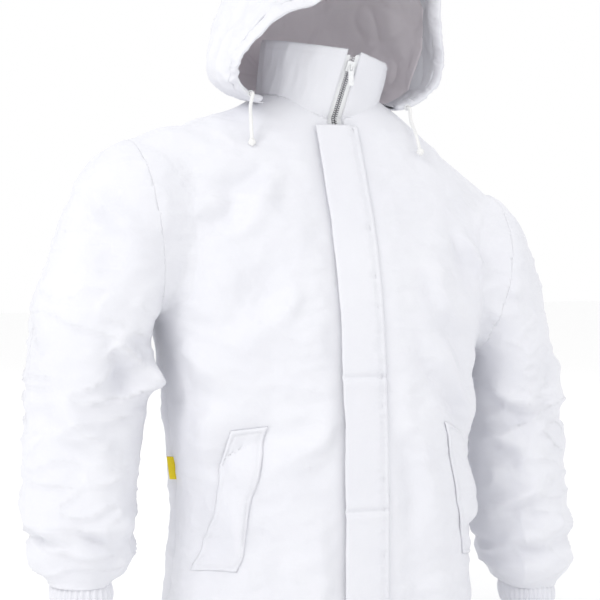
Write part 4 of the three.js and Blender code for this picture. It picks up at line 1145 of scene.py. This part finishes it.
class Wire:
    def __init__(self, finish, socket):
        self.finish = finish
        self.socket = socket

    def math(self, operation, *others):
        sockets = {i + 1: other for i, other in enumerate(others)}
        return self.finish.node("ShaderNodeMath", {"operation": operation}, {0: self, **sockets})[0]

    def __add__(self, other):
        return self.math("ADD", other)

    def __mul__(self, other):
        return self.math("MULTIPLY", other)

    def __sub__(self, other):
        return self.math("SUBTRACT", other)

    def __rsub__(self, other):
        return self * -1 + other

    def __pow__(self, other):
        return self.math("POWER", other)

    __radd__ = __add__
    __rmul__ = __mul__


class Finish:
    def __init__(self, name):
        self.material = bpy.data.materials.new(name)
        self.material.use_nodes = True
        self.tree = self.material.node_tree
        self.shader = self.tree.nodes["Principled BSDF"]

    def node(self, kind, settings=None, sockets=None):
        made = self.tree.nodes.new(kind)
        for key, value in (settings or {}).items():
            setattr(made, key, value)
        self.set(made, sockets or {})
        return [Wire(self, s) for s in made.outputs if s.enabled]

    def set(self, node, sockets):
        for key, value in sockets.items():
            if isinstance(value, Wire):
                self.tree.links.new(value.socket, node.inputs[key])
            else:
                node.inputs[key].default_value = value

    def coordinates(self, scale=1.0):
        place = self.node("ShaderNodeTexCoord")[3]
        scaled = self.node("ShaderNodeVectorMath", {"operation": "SCALE"}, {0: place, "Scale": scale})[0]
        return scaled, self.node("ShaderNodeSeparateXYZ", None, {0: scaled})

    def noise(self, scale, detail=2.0, roughness=0.5):
        place = self.node("ShaderNodeTexCoord")[3]
        return self.node(
            "ShaderNodeTexNoise", None,
            {"Vector": place, "Scale": scale, "Detail": detail, "Roughness": roughness},
        )[0]

    def mix(self, factor, first, second):
        return self.node(
            "ShaderNodeMix", {"data_type": "RGBA"}, {0: factor, 6: first, 7: second},
        )[0]

    def bump(self, height, strength, distance):
        relief = {"Height": height, "Strength": strength, "Distance": distance}
        return self.node("ShaderNodeBump", None, relief)[0]


def range_of(wire, low, high):
    """The wire's values from low to high, taken to 0 to 1."""
    finish = wire.finish
    ends = {0: wire, 1: low, 2: high, 3: 0.0, 4: 1.0}
    return finish.node("ShaderNodeMapRange", {"clamp": True}, ends)[0]


# %% [markdown]
# The white cloth is a fine polycotton twill. Its weave is a lattice of threads a third of a
# millimetre apart; at a distance it reads only as a soft, even roughness. Handling leaves it a
# little uneven, and the shade leans to a cool blue grey, as bleached cloth does.

# %% Cloth finishes


def woven(name, light, dark, pitch, weave_depth, rough, sheen=0.15, patch=0.5):
    finish = Finish(name)
    _, (x, y, z) = finish.coordinates(2 * math.pi / pitch)
    warp = x.math("SINE") * y.math("COSINE")
    weft = (z + x * 0.5).math("SINE")
    weave = warp * 0.5 + weft * 0.5
    cloud = range_of(finish.noise(9.0, 3.0, 0.55), 0.35, 0.68)
    slub = range_of(finish.noise(420.0, 2.0, 0.6), 0.3, 0.7)
    tint = finish.mix(cloud * patch + slub * 0.18, light, dark)
    height = weave * 0.5 + slub * 0.35 + range_of(finish.noise(60.0, 3.0), 0.2, 0.8) * 1.2
    finish.set(finish.shader, {
        "Base Color": tint,
        "Roughness": cloud * 0.08 + (rough - 0.04),
        "Normal": finish.bump(height, 0.55, weave_depth),
        "Sheen Weight": sheen,
        "Sheen Roughness": 0.5,
        "Specular IOR Level": 0.3,
    })
    return finish.material


def colour(r, g, b):
    return (r, g, b, 1.0)


white_twill = woven("white_twill", colour(0.795, 0.80, 0.84), colour(0.745, 0.75, 0.80), 0.0009, 0.0003, 0.8)
# shade and the twill after it are the white twill again, made darker, for the hood facing, flap facing,
# collar lining, pocket bags and hem facing: painted shade for faces that lie inside the jacket.
shade = colour(0.72, 0.727, 0.775)
shaded_twill = woven("shaded_twill", colour(0.775, 0.78, 0.82), shade, 0.0009, 0.0003, 0.82)
body_lining = woven("body_lining", colour(0.80, 0.79, 0.81), colour(0.72, 0.70, 0.73), 0.0007, 0.0002, 0.7)
mauve = colour(0.90, 0.86, 0.89)
hood_taffeta = woven("hood_taffeta", mauve, colour(0.84, 0.79, 0.83), 0.0008, 0.0002, 0.62, 0.3)
ribbon_weave = woven("ribbon_weave", colour(0.88, 0.88, 0.88), colour(0.78, 0.78, 0.80), 0.0012, 0.0004, 0.6)
label_weave = woven("label_weave", colour(0.86, 0.68, 0.02), colour(0.74, 0.56, 0.01), 0.0010, 0.0003, 0.55)
tape_weave = woven("tape_weave", colour(0.85, 0.86, 0.87), colour(0.74, 0.75, 0.77), 0.0011, 0.0004, 0.75)
elastic_rib = woven("elastic_rib", colour(0.82, 0.82, 0.81), colour(0.68, 0.68, 0.67), 0.0022, 0.0007, 0.85)
cord_braid = woven("cord_braid", colour(0.88, 0.88, 0.87), colour(0.70, 0.70, 0.70), 0.0024, 0.0008, 0.85)
print("cloth finishes made")

# %% [markdown]
# The slider, its pull and the eyelets are enamelled white, with a faint orange-peel gloss and
# dulled high spots. The snaps behind the flap are plated brass, brushed by use.

# %% Hard finishes


def hard(name, light, dark, metal, rough, coat):
    finish = Finish(name)
    wear = range_of(finish.noise(260.0, 4.0, 0.6), 0.45, 0.7)
    peel = finish.noise(1400.0, 1.0)
    finish.set(finish.shader, {
        "Base Color": finish.mix(wear, light, dark),
        "Roughness": wear * 0.18 + rough,
        "Normal": finish.bump(peel, 0.3, 0.00006),
        "Metallic": metal,
        "Coat Weight": coat,
    })
    return finish.material


enamel = hard("white_enamel", colour(0.84, 0.85, 0.86), colour(0.74, 0.75, 0.76), 0.0, 0.28, 0.5)
tooth_plastic = hard("tooth_plastic", colour(0.84, 0.85, 0.86), colour(0.76, 0.77, 0.78), 0.0, 0.38, 0.1)
snap_metal = hard("snap_plate", colour(0.72, 0.73, 0.75), colour(0.55, 0.56, 0.58), 1.0, 0.25, 0.0)

# %% [markdown]
# Every piece gets its finish and hides the CAD nodes it stands for, and the small pieces are given the body
# they move with. The cloth panels, the hood and the flap are given no body.

# %% Finishes, bodies and the nodes replaced


def dressed(obj, material, slot):
    if obj.type == "MESH" or obj.type == "CURVE":
        obj.data.materials.clear()
        obj.data.materials.append(material)
    return obj


# how fast each cloth would go over from the body to the sleeve, across and up, per millimetre. Both agree
# along the armhole: half way at the shoulder, and still with the body at the armpit. arm_blend only works out
# the two ends of that change from them and makes no blend.
BODY_BEND = (0.00842, 0.00111)
SLEEVE_BEND = (0.05, -0.00450)


def arm_blend(obj, kind):
    part, _, side = kind.split("_")
    across, up = SLEEVE_BEND if part == "sleeve" else BODY_BEND
    reach = Vector((SIDES[side] * across, 0, up)) / (2 * (across ** 2 + up ** 2)) / 1000
    seam = Vector(in_frame(np.array([[SIDES[side] * SHOULDER[0], -4.0, SHOULDER[1]]]))[0])
    tuple(seam - reach)
    tuple(seam + reach)
    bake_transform(obj)


def cad_name(kind, layer):
    part, face, side = kind.split("_")
    if layer == "lining":
        if part == "sleeve":
            return f"sleeve_lining_{side}"
        return "back_lining" if face == "back" else f"front_lining_{side}"
    if part == "sleeve":
        return f"sleeve_{face}_{side}"
    return "back_panel" if face == "back" else f"front_panel_{side}"


for layer, parts, material, slot in (
    ("panel", shell_panels, white_twill, "shell_cloth"),
    ("lining", lining_panels, body_lining, "lining_cloth"),
):
    for kind, obj in parts.items():
        dressed(obj, material, slot)
        arm_blend(obj, kind)
        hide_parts(cad_name(kind, layer))


def hood_piece(obj, material, slot, *nodes):
    dressed(obj, material, slot)
    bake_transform(obj)
    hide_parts(*nodes)


hood_piece(hood_panels["left"], white_twill, "shell_cloth", "hood_side_left")
hood_piece(hood_panels["right"], white_twill, "shell_cloth", "hood_side_right")
hood_piece(hood_panels["centre"], white_twill, "shell_cloth", "hood_centre_panel")
hood_piece(hood_facing, shaded_twill, "shell_cloth", "hood_lining")
hood_piece(hood_lining, hood_taffeta, "lining_cloth", "hood_lining")
hood_piece(tunnel, white_twill, "shell_cloth", "hood_front_casing")
hood_piece(inner_cord, cord_braid, "cord", "hood_drawcord")
for obj in (*hood_panels.values(), hood_facing, hood_lining, tunnel):
    print(obj.name, "made")

for obj, material, slot, node in (
    (flap, white_twill, "flap_cloth", "storm_flap"),
    (flap_lining, shaded_twill, "shell_cloth", "flap_facing"),
):
    dressed(obj, material, slot)
    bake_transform(obj)
    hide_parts(node)

for side in SIDES:
    for obj, material, slot, node, body in (
        (welts[side], white_twill, "shell_cloth", f"pocket_welt_{side}", "jacket_body"),
        (bags[side], shaded_twill, "lining_cloth", f"pocket_bag_{side}", "jacket_body"),
        (cuffs[side], white_twill, "shell_cloth", f"cuff_casing_{side}", f"{side}_sleeve"),
        (elastics[side], elastic_rib, "elastic", f"cuff_elastic_{side}", f"{side}_sleeve"),
        (chains[side], tooth_plastic, "zip_coil", f"zip_coil_{side}", "jacket_body"),
        (eyelets[side], enamel, "enamel", f"hood_eyelet_{side}", "jacket_body"),
        (knots[side], cord_braid, "cord", f"drawcord_knot_{side}", "jacket_body"),
        (tails[side], cord_braid, "cord", f"drawcord_tail_{side}", "jacket_body"),
    ):
        dressed(obj, material, slot)
        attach(obj, body)
        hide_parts(node)

for obj, material, slot, node in (
    (collar, white_twill, "shell_cloth", "collar_outer"),
    (collar_inner, shaded_twill, "lining_cloth", "collar_lining"),
    (hem, shaded_twill, "shell_cloth", "hem_facing"),
    (label, label_weave, "label", "side_label"),
    (loop, ribbon_weave, "ribbon", "hanger_loop"),
):
    dressed(obj, material, slot)
    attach(obj, "jacket_body")
    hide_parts(node)

# %% The hard CAD parts that stay
STAYING = {
    "zip_tape": tape_weave, "zip_slider": enamel, "zip_pull": enamel, "zip_pin": enamel, "zip_box": enamel,
    "snap_stud": snap_metal, "snap_socket": snap_metal,
}
for node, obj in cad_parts.items():
    for start, material in STAYING.items():
        if node.startswith(start):
            obj.data.materials.clear()
            obj.data.materials.append(material)

# %% [markdown]
# Cloth in one layer was cut flat before it was sewn. Each sheet's area is printed beside the flat size it was
# cut at; how each is held is listed but not used.

# %% Sheets as they were cut


def outer_area(obj):
    return sum(p.area for p in obj.data.polygons)


for obj, flat, held in (
    (flap, (0.064, 0.716), "stretched"),
    (flap_lining, (0.056, 0.71), "stretched"),
    (welts["right"], (0.056, 0.196), "stretched"),
    (welts["left"], (0.056, 0.196), "stretched"),
    (bags["right"], (0.155, 0.255), "hung"),
    (bags["left"], (0.155, 0.255), "hung"),
    (collar, (0.52, 0.10), "gathered"),
    (collar_inner, (0.49, 0.10), "gathered"),
    (hood_panels["left"], (0.20, 0.25), "gathered"),
    (hood_panels["right"], (0.20, 0.25), "gathered"),
    (hood_panels["centre"], (0.19, 0.38), "gathered"),
    (hood_facing, (0.72, 0.05), "gathered"),
    (hood_lining, (0.42, 0.30), "gathered"),
    (cuffs["right"], (0.30, 0.032), "gathered"),
    (cuffs["left"], (0.30, 0.032), "gathered"),
    (hem, (1.1, 0.04), "stretched"),
):
    print(obj.name, "measures", round(outer_area(obj), 4), "of", round(flat[0] * flat[1], 4), "m2")

# %% [markdown]
# White on white only reads through its shade, so one large soft light comes from the front and
# above, on the wearer's right. Two weaker ones fill from the other side and from behind. The
# floor is plain and pale and runs far back, and the world is a soft white that lights everything.

# %% Floor and light
floor_bm = bmesh.new()
bmesh.ops.create_grid(floor_bm, x_segments=1, y_segments=1, size=9)
bmesh.ops.translate(floor_bm, vec=(0, 0, cad_low.z - 0.004), verts=floor_bm.verts)
floor = link("floor", mesh_of("floor", floor_bm))
floor_finish = Finish("floor_paint")
floor_finish.set(floor_finish.shader, {"Base Color": colour(0.97, 0.97, 0.97), "Roughness": 0.9})
floor.data.materials.append(floor_finish.material)


def soft_light(name, place, size, power, tint):
    data = bpy.data.lights.new(name, "AREA")
    data.shape = "RECTANGLE"
    data.size = size[0]
    data.size_y = size[1]
    data.energy = power
    data.color = tint
    light = link(name, data)
    light.location = place
    light.rotation_euler = (Vector(place) - VIEW_TARGET).to_track_quat("Z", "Y").to_euler()


soft_light("key", (-2.6, -1.5, 1.9), (1.2, 1.2), 34, (1.0, 0.99, 0.98))
soft_light("fill", (2.8, -1.6, 0.6), (2.0, 2.0), 6, (0.97, 0.98, 1.0))
soft_light("rim", (1.2, 2.6, 1.6), (1.6, 1.6), 8, (0.98, 0.98, 1.0))
world = bpy.data.worlds.new("studio")
world.use_nodes = True
world.node_tree.nodes["Background"].inputs["Color"].default_value = colour(1.0, 1.0, 1.0)
world.node_tree.nodes["Background"].inputs["Strength"].default_value = 1.0
bpy.context.scene.world = world
bpy.context.scene.view_settings.view_transform = "Standard"
